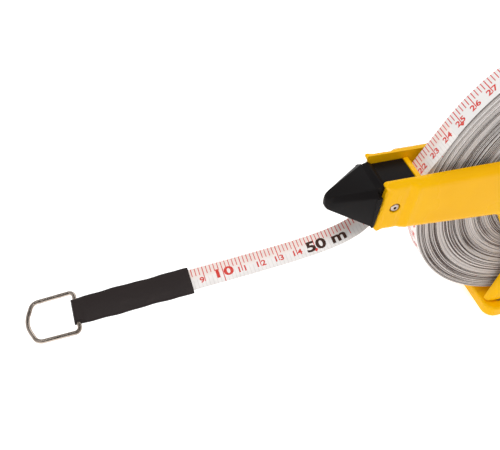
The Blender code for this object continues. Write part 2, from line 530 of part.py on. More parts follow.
# ---- reel and crank ------------------------------------------------------------------------
def add_reel(frame_axis):
    """Axle on the frame; hub with its wound tape; folding crank with its free knob."""
    black = make_material("hub_plastic", (0.02, 0.02, 0.021), 0.42)
    steel = make_material("axle_steel", (0.55, 0.55, 0.54), 0.3, 1.0)
    tape = make_material("wound_tape", (0.72, 0.69, 0.66), 0.6)
    yellow = make_material("crank_yellow", (0.93, 0.50, 0.012), 0.35)

    near = -FRAME_OUTER - 0.4 * MM
    far = HALF_INSIDE
    floor = far - WELL_FLOOR
    face = FRAME_OUTER + GAP
    add_piece("axle_bolt", turned([(0.0, floor - 1.7 * MM), (AXLE_HEAD_RADIUS, floor - 1.7 * MM),
                                   (AXLE_HEAD_RADIUS, floor - GAP), (AXLE_RADIUS, floor - GAP),
                                   (AXLE_RADIUS, face + 6.0 * MM), (0.0, face + 6.0 * MM)], 24), steel, frame_axis)
    washer = turned([(AXLE_RADIUS + GAP, face), (AXLE_RADIUS * 2.1, face),
                     (AXLE_RADIUS * 2.1, face + 1.0 * MM),
                     (AXLE_RADIUS + GAP, face + 1.0 * MM)], 24)
    add_piece("axle_washer", washer, steel, frame_axis)
    nut_low = face + 1.0 * MM + GAP
    axle_nut = add_piece("axle_nut", prism(circle(AXLE_RADIUS * 1.85, 6), nut_low, nut_low + 4.0 * MM),
                         steel, frame_axis)
    drill(axle_nut, "axle_nut_cut", 0.0, 0.0, AXLE_RADIUS + GAP, (0.0, 2 * CUT_DEPTH), frame_axis, 24)
    bezel_inner, bezel_outer = BEARING_RADIUS + 0.6 * MM, BEARING_RADIUS + 5.0 * MM
    bezel = turned([(bezel_inner, -face), (bezel_outer, -face), (bezel_outer - 0.6 * MM, -face - 1.2 * MM),
                    (bezel_inner, -face - 1.2 * MM)], 64)
    add_piece("hub_bezel", bezel, black, frame_axis)

    reel = add_axis("reel_axis", HUB, turn=CRANK_DIRECTION)
    disc, drum = BEARING_RADIUS - 0.6 * MM, DRUM_RADIUS - GAP
    shoulder = -HALF_INSIDE
    hub = turned([(WELL_RADIUS, near), (disc, near), (disc, shoulder), (drum, shoulder), (drum, far),
                  (AXLE_RADIUS + GAP, far), (AXLE_RADIUS + GAP, floor), (WELL_RADIUS, floor)], 64)
    reel_hub = add_piece("reel_hub", hub, black, reel)
    hinge_y = near - CRANK_STANDOFF - CRANK_THICKNESS / 2
    lug_low, lug_high = hinge_y - CRANK_THICKNESS / 2, near + 1.0 * MM
    for word, side in (("low", -1), ("high", 1)):
        left, right = CRANK_HINGE_RADIUS - LUG_HALF_LENGTH, CRANK_HINGE_RADIUS + LUG_HALF_LENGTH
        inner, outer = side * (CRANK_WIDTH / 2 + GAP), side * (CRANK_WIDTH / 2 + GAP + LUG_THICKNESS)
        lug = prism([(left, inner), (right, inner), (right, outer), (left, outer)], lug_low, lug_high)
        join(reel_hub, f"reel_hub_lug_{word}", lug, reel)
    half_pin = CRANK_WIDTH / 2 + GAP + LUG_THICKNESS
    cut(reel_hub, "reel_hub_pin_cut", pin_solid(CRANK_PIN_RADIUS + GAP, half_pin + 5 * MM, hinge_y), reel)
    add_piece("crank_pin", pin_solid(CRANK_PIN_RADIUS, half_pin, hinge_y), steel, reel)
    pack = turned([(DRUM_RADIUS, -HALF_TAPE), (PACK_RADIUS, -HALF_TAPE), (PACK_RADIUS, HALF_TAPE),
                   (DRUM_RADIUS, HALF_TAPE)], 96)
    add_piece("tape_pack", pack, tape, reel)

    crank = add_axis("crank_axis", (CRANK_HINGE_RADIUS, hinge_y, 0.0), reel)
    end = CRANK_LENGTH + KNOB_RADIUS + 1 * MM
    half, back = CRANK_WIDTH / 2, -CRANK_THICKNESS / 2
    wide = KNOB_RADIUS + 1 * MM
    waist, palm = CRANK_LENGTH * 0.55, CRANK_LENGTH - 4 * MM
    outline = rounded([(back, -half, 0.8 * MM), (waist, -half, 8 * MM), (palm, -wide, 6 * MM),
                       (end, -wide, wide * 0.98), (end, wide, wide * 0.98), (palm, wide, 6 * MM),
                       (waist, half, 8 * MM), (back, half, 0.8 * MM)])
    arm = prism(outline, -CRANK_THICKNESS / 2, CRANK_THICKNESS / 2)
    round_rims(arm, 0.9 * MM, [-CRANK_THICKNESS / 2, CRANK_THICKNESS / 2])
    crank_arm = add_piece("crank_arm", arm, yellow, crank)
    cut(crank_arm, "crank_arm_pin_cut", pin_solid(CRANK_PIN_RADIUS + GAP, half + 5 * MM, 0.0, 0.0), crank)
    drill(crank_arm, "crank_arm_knob_cut", CRANK_LENGTH, 0.0, KNOB_PIN_RADIUS + GAP,
          (-CUT_DEPTH, CUT_DEPTH), crank)

    knob_axis = add_axis("knob_axis", (CRANK_LENGTH, 0.0, 0.0), crank)
    foot, tip = -CRANK_THICKNESS / 2 - GAP, -CRANK_THICKNESS / 2 - GAP - KNOB_LENGTH
    recess = tip + 2.0 * MM
    hole, head = KNOB_PIN_RADIUS + GAP, KNOB_PIN_RADIUS * 1.9
    knob = turned([(hole, foot), (KNOB_RADIUS * 0.8, foot), (KNOB_RADIUS * 0.72, foot - 3 * MM),
                   (KNOB_RADIUS * 0.86, foot - 7 * MM), (KNOB_RADIUS, tip + 5 * MM), (KNOB_RADIUS, tip + 2 * MM),
                   (KNOB_RADIUS - 1.8 * MM, tip), (head + GAP, tip), (head + GAP, recess), (hole, recess)], 32)
    add_piece("crank_knob", knob, black, knob_axis)
    pin = turned([(0.0, CRANK_THICKNESS / 2), (KNOB_PIN_RADIUS, CRANK_THICKNESS / 2), (KNOB_PIN_RADIUS, recess - GAP),
                  (head, recess - GAP), (head, tip + 0.5 * MM), (0.0, tip + 0.5 * MM)], 24)
    bmesh.ops.translate(pin, verts=pin.verts, vec=(CRANK_LENGTH, 0, 0))
    add_piece("knob_pin", pin, steel, crank)


def pin_solid(radius, half_length, y, x=CRANK_HINGE_RADIUS):
    """Round pin along Z in the reel's or the crank's axes."""
    bm = turned([(0.0, -half_length), (radius, -half_length), (radius, half_length), (0.0, half_length)], 16)
    bmesh.ops.transform(bm, matrix=Matrix.Translation((x, y, 0.0)) @ Matrix.Rotation(math.pi / 2, 4, "X"),
                        verts=bm.verts)
    return bm


# ---- tape, sleeve and ring -----------------------------------------------------------------
def add_tape(parent):
    """Tape from the coil through the nose into its sleeve, and the ring in the sleeve's loop."""
    white = make_material("printed_tape", (0.83, 0.79, 0.77), 0.5)
    vinyl = make_material("black_vinyl", (0.035, 0.026, 0.024), 0.5)
    nickel = make_material("ring_wire", (0.72, 0.68, 0.62), 0.15, 1.0)

    to_sleeve = RUN_LENGTH + MOUTH_LENGTH + FREE_LENGTH
    step = SLEEVE_LENGTH / 24
    every = tape_stations(round((to_sleeve + SLEEVE_LENGTH) / step) * step, step)
    mouth = round(to_sleeve / step)
    in_sleeve = round(TAPE_IN_SLEEVE / step)
    add_piece("tape_lead", strip(every[:mouth + in_sleeve + 1], TAPE_WIDTH, TAPE_THICKNESS), white, parent)

    loop = RING_WIRE_RADIUS + GAP + 0.75 * MM
    body = every[mouth:-1]
    sleeve = add_piece("end_sleeve", strip(body, SLEEVE_WIDTH, SLEEVE_THICKNESS), vinyl, parent)
    centre, outward, across, up = every[-2]
    turn = Matrix((outward, across, up)).transposed()
    place = Matrix.Translation(centre) @ turn.to_4x4()
    bead_half, sides = SLEEVE_WIDTH / 2 - 0.2 * MM, 20
    bead = turned([(0.0, -bead_half), (loop, -bead_half), (loop, bead_half), (0.0, bead_half)], sides)
    half_side = Matrix.Rotation(math.pi / sides, 4, "Y")    # keeps its corners off the sleeve's end face
    bmesh.ops.transform(bead, matrix=place @ half_side, verts=bead.verts)
    join(sleeve, "end_sleeve_loop", bead, parent)
    bore = turned([(0.0, -SLEEVE_WIDTH), (RING_WIRE_RADIUS + GAP, -SLEEVE_WIDTH),
                   (RING_WIRE_RADIUS + GAP, SLEEVE_WIDTH), (0.0, SLEEVE_WIDTH)], sides)
    bmesh.ops.transform(bore, matrix=place, verts=bore.verts)
    cut(sleeve, "end_sleeve_bore", bore, parent)
    slot = strip(every[mouth - 2:mouth + in_sleeve + 2], TAPE_WIDTH + 2 * GAP, TAPE_THICKNESS + 2 * GAP)
    cut(sleeve, "end_sleeve_slot", slot, parent)

    ring_axis = add_axis("ring_axis", parent.location + centre)
    ring_axis.rotation_euler = turn.to_euler()
    half, far = RING_WIDTH / 2, RING_LENGTH - RING_WIRE_RADIUS
    route = rounded([(0.0, -half, 2.6 * MM), (far * 0.82, -half * 0.97, 4.5 * MM), (far, 0.0, 14 * MM),
                     (far * 0.82, half * 0.97, 4.5 * MM), (0.0, half, 2.6 * MM)], math.radians(14))
    sections = []
    for index, point in enumerate(route):
        before, after = route[index - 1], route[(index + 1) % len(route)]
        along = (after - before).normalized()
        side = Vector((along.y, -along.x, 0.0))
        middle = Vector((point.x, point.y, 0.0))
        sections.append([middle + RING_WIRE_RADIUS * (math.cos(a) * side + math.sin(a) * Vector((0, 0, 1)))
                         for a in (2 * math.pi * k / 12 for k in range(12))])
    add_piece("end_ring", skin(sections, closed=True), nickel, ring_axis)


def main():
    """Build the whole tape measure."""
    for item in list(bpy.data.objects):
        bpy.data.objects.remove(item)
    frame_axis = add_axis("frame_axis", HUB)
    add_frame(frame_axis)
    add_nose(frame_axis)
    add_reel(frame_axis)
    add_tape(frame_axis)


main()
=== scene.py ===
"""Looks of an open-reel fibreglass tape measure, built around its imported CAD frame.

Metres, +Z up.  The nose points to -X, the handle to +X, and the reel turns about an axis along Y.
Sizes named here repeat the design's own; points written "about the reel" are measured from its axis.
"""
import logging
import math
from collections.abc import Callable, Iterable, Sequence
from dataclasses import dataclass, field
from enum import Enum

import bmesh
import bpy
import numpy as np
from mathutils import Matrix, Vector
from mathutils.geometry import delaunay_2d_cdt


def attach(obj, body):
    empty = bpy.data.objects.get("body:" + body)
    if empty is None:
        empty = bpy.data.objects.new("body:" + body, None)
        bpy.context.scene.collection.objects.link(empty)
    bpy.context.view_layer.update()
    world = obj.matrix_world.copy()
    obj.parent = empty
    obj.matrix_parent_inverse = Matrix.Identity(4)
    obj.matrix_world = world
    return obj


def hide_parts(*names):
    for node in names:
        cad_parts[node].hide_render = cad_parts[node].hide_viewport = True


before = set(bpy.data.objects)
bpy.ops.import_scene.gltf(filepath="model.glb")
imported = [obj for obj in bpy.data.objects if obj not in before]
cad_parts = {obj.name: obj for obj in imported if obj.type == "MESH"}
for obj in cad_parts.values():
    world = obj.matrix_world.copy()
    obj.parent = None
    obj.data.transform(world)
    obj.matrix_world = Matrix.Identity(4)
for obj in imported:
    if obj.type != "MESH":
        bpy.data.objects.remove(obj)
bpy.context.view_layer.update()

LOG = logging.getLogger("tape_measure")
MM = 0.001
HUB = Vector((0.0, 0.0, 101.0 * MM))
GAP = 0.3 * MM

TAPE_WIDTH = 12.5 * MM
TAPE_THICKNESS = 0.42 * MM
PACK_RADIUS = 90.0 * MM
DRUM_RADIUS = 24.0 * MM
FRAME_INNER = 9.8 * MM
TAB_OUTER = 13.55 * MM
FRAME_OUTER = 15.3 * MM
HALF_INSIDE = FRAME_INNER - GAP
NOSE_FRONT = 119.2 * MM
NOSE_ARM_TOP = 23.5 * MM
NOSE_ARM_BOTTOM = 6.6 * MM
RIVET = (-110.0 * MM, 8.2 * MM)
RUN_SLOPE = math.radians(62.3)
MOUTH_SLOPE = math.radians(45.0)
HANDLE_TILT = math.radians(34.0)
GRIP_DISTANCE = 138.0 * MM

LAST_TURN = PACK_RADIUS + GAP + TAPE_THICKNESS / 2

Sections = Sequence[Sequence[Vector]]
ToScale = Callable[[Vector], tuple[float, float, float]]


# ---- shader and geometry node graphs -------------------------------------------------------
@dataclass(frozen=True)
class Channel:
    """A varying number in a node graph, used in ordinary arithmetic."""

    graph: "Graph"
    socket: bpy.types.NodeSocket

    def math(self, operation: str, *others: "Channel | float", swap: bool = False) -> "Channel":
        """Put this value through a Math node.

        Args:
            operation: the Math node's operation.
            others: its other inputs.
            swap: True where this value is the second input.

        Returns:
            The node's result.
        """
        values = [*others, self] if swap else [self, *others]
        node = self.graph.add("ShaderNodeMath", {"operation": operation}, dict(enumerate(values)))
        return Channel(self.graph, node.outputs[0])

    def __add__(self, other: "Channel | float") -> "Channel":
        """Sum."""
        return self.math("ADD", other)

    def __radd__(self, other: float) -> "Channel":
        """Sum with a number on the left."""
        return self.math("ADD", other, swap=True)

    def __sub__(self, other: "Channel | float") -> "Channel":
        """Difference."""
        return self.math("SUBTRACT", other)

    def __rsub__(self, other: float) -> "Channel":
        """Difference from a number on the left."""
        return self.math("SUBTRACT", other, swap=True)

    def __mul__(self, other: "Channel | float") -> "Channel":
        """Product."""
        return self.math("MULTIPLY", other)

    def __rmul__(self, other: float) -> "Channel":
        """Product with a number on the left."""
        return self.math("MULTIPLY", other, swap=True)

    def __truediv__(self, other: "Channel | float") -> "Channel":
        """Quotient."""
        return self.math("DIVIDE", other)

    def ramp(self, low: float, high: float, start: float = 0.0, end: float = 1.0) -> "Channel":
        """Smooth step.

        Args:
            low: value at which the step starts.
            high: value at which it ends.
            start: result up to low.
            end: result from high on.

        Returns:
            The stepped value.
        """
        sockets = {"Value": self, "From Min": low, "From Max": high, "To Min": start, "To Max": end}
        node = self.graph.add("ShaderNodeMapRange", {"interpolation_type": "SMOOTHSTEP"}, sockets)
        return Channel(self.graph, node.outputs[0])


@dataclass(frozen=True)
class Graph:
    """A node tree and the one way its nodes are added."""

    tree: bpy.types.NodeTree

    def add(self, kind: str, settings: dict[str, object] | None = None,
            sockets: dict[str | int, object] | None = None) -> bpy.types.Node:
        """Add a node.

        Args:
            kind: the node's type.
            settings: its properties, set before its sockets.
            sockets: values or links by input name or index.

        Returns:
            The node.
        """
        node = self.tree.nodes.new(kind)
        for name, value in (settings or {}).items():
            setattr(node, name, value)
        for name, value in (sockets or {}).items():
            self.feed(node.inputs[name], value)
        return node

    def feed(self, socket: bpy.types.NodeSocket, value: object) -> None:
        """Give a socket a value, or link a channel or another socket to it.

        Args:
            socket: the socket that is fed.
            value: what it gets.
        """
        if isinstance(value, Channel):
            value = value.socket
        if isinstance(value, bpy.types.NodeSocket):
            self.tree.links.new(value, socket)
        else:
            socket.default_value = value

    def position(self) -> bpy.types.NodeSocket:
        """Position in the object's own axes."""
        return self.add("ShaderNodeTexCoord").outputs["Object"]

    def noise(self, scale: float, detail: float = 2.0, place: object = None,
              stretch: tuple[float, float, float] = (1.0, 1.0, 1.0)) -> Channel:
        """Cloudy noise.

        Args:
            scale: features per metre.
            detail: octaves of finer noise.
            place: where it is read, the object's own position if left out.
            stretch: factor on each axis before it is read.

        Returns:
            A value about 0.5.
        """
        moved = self.add("ShaderNodeMapping", None, {"Vector": place or self.position(), "Scale": stretch})
        sockets = {"Vector": moved.outputs[0], "Scale": scale, "Detail": detail}
        return Channel(self, self.add("ShaderNodeTexNoise", None, sockets).outputs[0])

    def blend(self, share: object, first: object, second: object) -> bpy.types.NodeSocket:
        """Mix two colours; share 0 gives the first."""
        node = self.add("ShaderNodeMix", {"data_type": "RGBA"}, {0: share, 6: first, 7: second})
        return node.outputs[2]

    def bump(self, height: Channel, distance: float) -> bpy.types.NodeSocket:
        """Normal raised by a height of up to a distance."""
        node = self.add("ShaderNodeBump", None, {"Height": height, "Distance": distance, "Strength": 1.0})
        return node.outputs[0]


def paint(red: float, green: float, blue: float) -> tuple[float, float, float, float]:
    """Linear colour of a paint chip given in display values from 0 to 255."""
    linear = [c / 3294.6 if c <= 10.3 else ((c / 255 + 0.055) / 1.055) ** 2.4 for c in (red, green, blue)]
    return (*linear, 1.0)


# ---- finishes ------------------------------------------------------------------------------
class Slot(Enum):
    """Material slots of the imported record."""

    YELLOW = "yellow_abs"
    BLACK = "black_plastic"
    GRIP = "grip_rubber"
    NICKEL = "nickel"
    STEEL = "screw_steel"
    TAPE = "tape"
    VINYL = "vinyl"


@dataclass(frozen=True)
class Finish:
    """A surface finish, whose material is made once and shared."""

    name: str
    slot: Slot

    def material(self) -> bpy.types.Material:
        """Make the finish's material, or find the one made before.

        Returns:
            The material.
        """
        found = bpy.data.materials.get(self.name)
        if found:
            return found
        made = bpy.data.materials.new(self.name)
        made.use_nodes = True
        graph, shader = Graph(made.node_tree), made.node_tree.nodes["Principled BSDF"]
        for name, value in self.surface(graph).items():
            graph.feed(shader.inputs[name], value)
        return made

    def surface(self, graph: Graph) -> dict[str, object]:
        """Work out what the finish feeds to the shader.

        Args:
            graph: the material's node tree.

        Returns:
            A value or a socket for each of the shader's inputs that it sets.

        Raises:
            NotImplementedError: in the base class, which has no look of its own.
        """
        raise NotImplementedError

    def dress(self, piece: bpy.types.Object) -> None:
        """Give the whole piece this finish."""
        piece.data.materials.clear()
        piece.data.materials.append(self.material())


@dataclass(frozen=True)
class MouldedPlastic(Finish):
    """Injection-moulded plastic: faint flow clouds, fine grain and a soft gloss."""

    colour: tuple[float, float, float, float]
    shade: tuple[float, float, float, float]
    roughness: float
    gloss: float
    grain: float = 0.012 * MM
    grain_scale: float = 1600.0

    def surface(self, graph: Graph) -> dict[str, object]:
        """Work out what the finish feeds to the shader.

        Args:
            graph: the material's node tree.

        Returns:
            A value or a socket for each of the shader's inputs that it sets.
        """
        clouds = graph.noise(26.0, 3.0)
        scuffs = graph.noise(420.0, 4.0, stretch=(1.0, 1.0, 0.12)).ramp(0.62, 0.8)
        grain = graph.noise(self.grain_scale, 2.0)
        return {
            "Base Color": graph.blend(clouds.ramp(0.3, 0.75), self.colour, self.shade),
            "Roughness": self.roughness + 0.10 * clouds + 0.12 * scuffs,
            "Normal": graph.bump(grain + 0.6 * scuffs, self.grain),
            "Specular IOR Level": self.gloss,
        }


@dataclass(frozen=True)
class Rubber(Finish):
    """Soft rubber with a pebbled skin and a little dust in its hollows."""

    colour: tuple[float, float, float, float]
    dust: tuple[float, float, float, float]

    def surface(self, graph: Graph) -> dict[str, object]:
        """Work out what the finish feeds to the shader.

        Args:
            graph: the material's node tree.

        Returns:
            A value or a socket for each of the shader's inputs that it sets.
        """
        pebbles = graph.noise(1900.0, 3.0)
        dusty = graph.noise(60.0, 5.0).ramp(0.5, 0.8, 0.0, 0.35)
        return {
            "Base Color": graph.blend(dusty, self.colour, self.dust),
            "Roughness": 0.66 + 0.2 * pebbles,
            "Normal": graph.bump(pebbles, 0.05 * MM),
            "Specular IOR Level": 0.3,
        }


@dataclass(frozen=True)
class PlatedMetal(Finish):
    """Plated or bright metal with drawing lines and a few duller patches."""

    colour: tuple[float, float, float, float]
    tarnish: tuple[float, float, float, float]
    roughness: float
    drawn: float = 0.006 * MM

    def surface(self, graph: Graph) -> dict[str, object]:
        """Work out what the finish feeds to the shader.

        Args:
            graph: the material's node tree.

        Returns:
            A value or a socket for each of the shader's inputs that it sets.
        """
        patches = graph.noise(190.0, 4.0)
        lines = graph.noise(900.0, 3.0, stretch=(1.0, 6.0, 6.0))
        worn = patches.ramp(0.5, 0.72, 0.0, 0.7)
        return {
            "Base Color": graph.blend(worn, self.colour, self.tarnish),
            "Roughness": self.roughness + 0.16 * patches + 0.08 * lines,
            "Normal": graph.bump(lines, self.drawn),
            "Metallic": 1.0,
        }


@dataclass(frozen=True)
class CoatedTape(Finish):
    """White coating over glass fibre: cross ribs, lengthwise strands and greyer wear.

    The piece carries a UV map with the distance along the tape and across it, in metres.
    """

    colour: tuple[float, float, float, float]
    worn: tuple[float, float, float, float]
    tinted: tuple[float, float, float, float]
    rib_pitch: float = 2.0 * MM
    strand_pitch: float = 0.5 * MM

    def surface(self, graph: Graph) -> dict[str, object]:
        """Work out what the finish feeds to the shader.

        Args:
            graph: the material's node tree.

        Returns:
            A value or a socket for each of the shader's inputs that it sets.
        """
        layout = graph.add("ShaderNodeUVMap", {"uv_map": "tape"}).outputs[0]
        split = graph.add("ShaderNodeSeparateXYZ", None, {0: layout})
        along, across = Channel(graph, split.outputs[0]), Channel(graph, split.outputs[1])
        rib = (along * (2 * math.pi / self.rib_pitch)).math("SINE").ramp(0.55, 1.0)
        strand = (across * (2 * math.pi / self.strand_pitch)).math("SINE")
        near_half = across.ramp(-0.2 * MM, -1.4 * MM)
        grime = graph.noise(160.0, 4.0).ramp(0.45, 0.8)
        share = rib * near_half * 0.30 + grime * 0.22
        coat = graph.blend(across.ramp(-1.5 * MM, 2.0 * MM), self.colour, self.tinted)
        return {
            "Base Color": graph.blend(share, coat, self.worn),
            "Roughness": 0.46 + 0.14 * grime,
            "Normal": graph.bump(strand * 0.35 + rib * 0.6, 0.02 * MM),
            "Specular IOR Level": 0.3,
        }


@dataclass(frozen=True)
class WoundTape(Finish):
    """Tape in the coil: coated faces, and cut edges darkened by painted shade that stands in for the shadows
    between turns lying out of line.

    The piece carries the attributes turn, counted from the drum outwards, and lay, its sideways place.
    """

    face: tuple[float, float, float, float]
    edge_light: tuple[float, float, float, float]
    # The darker edge colour is painted shade for the cut edges of turns in shadow.
    edge_dark: tuple[float, float, float, float]
    ink: tuple[float, float, float, float]

    def surface(self, graph: Graph) -> dict[str, object]:
        """Work out what the finish feeds to the shader.

        Args:
            graph: the material's node tree.

        Returns:
            A value or a socket for each of the shader's inputs that it sets.
        """
        turn, lay = (Channel(graph, graph.add("ShaderNodeAttribute", {"attribute_name": name}).outputs["Fac"])
                     for name in ("turn", "lay"))
        line = graph.add("ShaderNodeCombineXYZ", None, {0: turn})
        bands = graph.noise(0.55, 2.0, line.outputs[0])
        single = graph.noise(2.3, 0.0, line.outputs[0])
        weave = graph.noise(1500.0, 2.0)
        specks = graph.noise(700.0, 1.0).ramp(0.72, 0.76)
        # Painted shade on the cut edges: noise by groups of turns, noise by single turns and each turn's
        # sideways place darken them as shadow would; the weave adds a little real fibre texture.
        dark = bands.ramp(0.42, 0.60) * 0.40 + single.ramp(0.50, 0.55) * 0.85 + weave * 0.15 - lay * 0.25
        edge = graph.blend(dark.ramp(-0.15, 1.0), self.edge_light, self.edge_dark)
        edge = graph.blend(specks * 0.35, edge, self.ink)
        normal = graph.add("ShaderNodeNewGeometry").outputs["Normal"]
        split = graph.add("ShaderNodeSeparateXYZ", None, {0: normal})
        sideways = Channel(graph, split.outputs[1]).math("ABSOLUTE").ramp(0.5, 0.8)
        return {
            "Base Color": graph.blend(sideways, self.face, edge),
            "Roughness": 0.5 + 0.3 * weave,
            "Normal": graph.bump(weave, 0.06 * MM),
            "Specular IOR Level": 0.25,
        }


@dataclass(frozen=True)
class Ink(Finish):
    """Printing ink, thinner here and there, so that it is a little uneven."""

    colour: tuple[float, float, float, float]
    thin: tuple[float, float, float, float]

    def surface(self, graph: Graph) -> dict[str, object]:
        """Work out what the finish feeds to the shader.

        Args:
            graph: the material's node tree.

        Returns:
            A value or a socket for each of the shader's inputs that it sets.
        """
        uneven = graph.noise(1300.0, 3.0)
        return {
            "Base Color": graph.blend(uneven.ramp(0.42, 0.75), self.colour, self.thin),
            "Roughness": 0.45 + 0.2 * uneven,
            "Normal": graph.bump(uneven, 0.008 * MM),
            "Specular IOR Level": 0.2,
        }


@dataclass(frozen=True)
class Vinyl(Finish):
    """Matt vinyl sleeve: fine leather grain, slow puckers and rubbed places."""

    colour: tuple[float, float, float, float]
    rubbed: tuple[float, float, float, float]

    def surface(self, graph: Graph) -> dict[str, object]:
        """Work out what the finish feeds to the shader.

        Args:
            graph: the material's node tree.

        Returns:
            A value or a socket for each of the shader's inputs that it sets.
        """
        grain = graph.noise(1500.0, 3.0)
        puckers = graph.noise(130.0, 3.0, stretch=(0.6, 1.4, 1.4))
        worn = puckers.ramp(0.5, 0.8, 0.0, 0.6)
        return {
            "Base Color": graph.blend(worn, self.colour, self.rubbed),
            "Roughness": 0.5 + 0.22 * grain,
            "Normal": graph.bump(puckers * 4.0 + grain * 0.5, 0.09 * MM),
            "Specular IOR Level": 0.3,
        }


YELLOW = MouldedPlastic("moulded_yellow", Slot.YELLOW, colour=paint(253, 192, 0), shade=paint(248, 183, 0),
                        roughness=0.22, gloss=0.14)
BLACK = MouldedPlastic("moulded_black", Slot.BLACK, colour=paint(17, 15, 16), shade=paint(25, 22, 22),
                       roughness=0.44, gloss=0.10)
GRIP = Rubber("grip_rubber_skin", Slot.GRIP, colour=paint(30, 29, 29), dust=paint(74, 71, 68))
NICKEL = PlatedMetal("polished_nickel", Slot.NICKEL, colour=paint(196, 182, 170),
                     tarnish=paint(128, 112, 102), roughness=0.08, drawn=0.001 * MM)
STEEL = PlatedMetal("zinc_steel", Slot.STEEL, colour=paint(196, 194, 190), tarnish=paint(150, 146, 138),
                    roughness=0.26)
TAPE = CoatedTape("coated_tape", Slot.TAPE, colour=paint(255, 250, 247), worn=paint(208, 201, 197),
                  tinted=paint(255, 240, 233))
# The coil's darker edge colour is painted shade, not a tone of the tape.
COIL = WoundTape("wound_tape", Slot.TAPE, face=paint(246, 243, 241), edge_light=paint(228, 220, 216),
                 edge_dark=paint(84, 71, 67), ink=paint(190, 70, 70))
RED_INK = Ink("red_ink", Slot.TAPE, colour=paint(222, 62, 54), thin=paint(232, 108, 98))
BROWN_INK = Ink("brown_ink", Slot.TAPE, colour=paint(62, 36, 28), thin=paint(92, 60, 48))
VINYL = Vinyl("sleeve_vinyl", Slot.VINYL, colour=paint(37, 27, 26), rubbed=paint(52, 41, 39))


# ---- pieces --------------------------------------------------------------------------------
def add_piece(name: str, bm: bmesh.types.BMesh, finish: Finish, body: str, *stands_for: str,
              smooth: float = 35.0) -> bpy.types.Object:
    """Turn a bmesh into a finished piece.

    Args:
        name: the piece's name.
        bm: its shape in the row frame, which is freed.
        finish: its finish.
        body: the CAD body it rides on.
        stands_for: the CAD nodes that it replaces.
        smooth: edges turning by less than this many degrees are shaded smooth.

    Returns:
        The object.
    """
    mesh = bpy.data.meshes.new(name)
    bm.to_mesh(mesh)
    bm.free()
    mesh.shade_smooth()
    mesh.set_sharp_from_angle(angle=math.radians(smooth))
    piece = bpy.data.objects.new(name, mesh)
    bpy.context.scene.collection.objects.link(piece)
    return settle(piece, finish, body, *stands_for)


def settle(piece: bpy.types.Object, finish: Finish, body: str, *stands_for: str) -> bpy.types.Object:
    """Dress a piece and let it ride on its body in place of CAD nodes.

    Args:
        piece: the piece.
        finish: its finish.
        body: the CAD body it rides on.
        stands_for: the CAD nodes that it replaces.

    Returns:
        The same piece.
    """
    finish.dress(piece)
    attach(piece, body)
    if stands_for:
        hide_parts(*stands_for)
    LOG.info("piece %s: %d faces on body %s", piece.name, len(piece.data.polygons), body)
    return piece


def dress_node(finish: Finish, *names: str) -> None:
    """Give CAD nodes a finish.

    Args:
        finish: the finish.
        names: the nodes' names.
    """
    for name in names:
        finish.dress(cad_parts[name])
        LOG.info("CAD node %s: %s", name, finish.name)


def rounded(corners: Iterable[tuple[float, float, float]], step: float = math.radians(7)) -> list[Vector]:
    """Closed outline with rounded corners.

    Args:
        corners: points (x, z) with the radius of the corner there.
        step: angle between points of an arc.

    Returns:
        Points of the outline.
    """
    corners = list(corners)
    points: list[Vector] = []
    for index, (x, z, radius) in enumerate(corners):
        corner = Vector((x, z))
        back = Vector(corners[index - 1][:2]) - corner
        ahead = Vector(corners[(index + 1) % len(corners)][:2]) - corner
        shorter = min(back.length, ahead.length)
        back, ahead = back.normalized(), ahead.normalized()
        half = math.acos(max(-1.0, min(1.0, back.dot(ahead)))) / 2
        if radius <= 0.0 or half > math.radians(88):
            points.append(corner)
            continue
        radius = min(radius, 0.49 * shorter * math.tan(half))
        centre = corner + (back + ahead).normalized() * (radius / math.sin(half))
        start = corner + back * (radius / math.tan(half)) - centre
        end = corner + ahead * (radius / math.tan(half)) - centre
        turn = math.atan2(start.x * end.y - start.y * end.x, start.dot(end))
        steps = max(2, math.ceil(abs(turn) / step))
        points += [centre + Matrix.Rotation(turn * i / steps, 2) @ start for i in range(steps + 1)]
    return points


def circle(radius: float, count: int, centre: tuple[float, float] = (0.0, 0.0)) -> list[Vector]:
    """Points of a circle."""
    angles = [2 * math.pi * index / count for index in range(count)]
    return [Vector((centre[0] + radius * math.cos(a), centre[1] + radius * math.sin(a))) for a in angles]


def skin(sections: Sections, closed: bool = False, capped: bool = True) -> bmesh.types.BMesh:
    """Solid through sections.

    Args:
        sections: lists of the same number of points.
        closed: True where the last section meets the first.
        capped: True where the ends get a face.

    Returns:
        The solid, its faces pointing out.
    """
    bm = bmesh.new()
    rings = [[bm.verts.new(point) for point in section] for section in sections]
    pairs = list(zip(rings, rings[1:] + rings[:1])) if closed else list(zip(rings, rings[1:]))
    for low, high in pairs:
        for i in range(len(low)):
            j = (i + 1) % len(low)
            bm.faces.new((low[i], low[j], high[j], high[i]))
    if capped and not closed:
        bm.faces.new(list(reversed(rings[0])))
        bm.faces.new(rings[-1])
    bmesh.ops.recalc_face_normals(bm, faces=bm.faces)
    return bm


def prism(outline: Sequence[Vector], y_low: float, y_high: float, edge: float = 0.0) -> bmesh.types.BMesh:
    """Outline in (x, z) about the reel, extruded along Y.

    Args:
        outline: the points.
        y_low: where it starts.
        y_high: where it ends.
        edge: radius of its rims.

    Returns:
        The solid in the row frame.
    """
    bm = bmesh.new()
    face = bm.faces.new([bm.verts.new((p[0], y_low, p[1] + HUB.z)) for p in outline])
    extruded = bmesh.ops.extrude_face_region(bm, geom=[face])
    moved = [item for item in extruded["geom"] if isinstance(item, bmesh.types.BMVert)]
    bmesh.ops.translate(bm, verts=moved, vec=(0.0, y_high - y_low, 0.0))
    if edge > 0.0:
        rims = [e for e in bm.edges if abs(e.verts[0].co.y - e.verts[1].co.y) < 1e-7]
        bmesh.ops.bevel(bm, geom=rims, offset=edge, segments=3, affect="EDGES", profile=0.5)
    bmesh.ops.recalc_face_normals(bm, faces=bm.faces)
    return bm


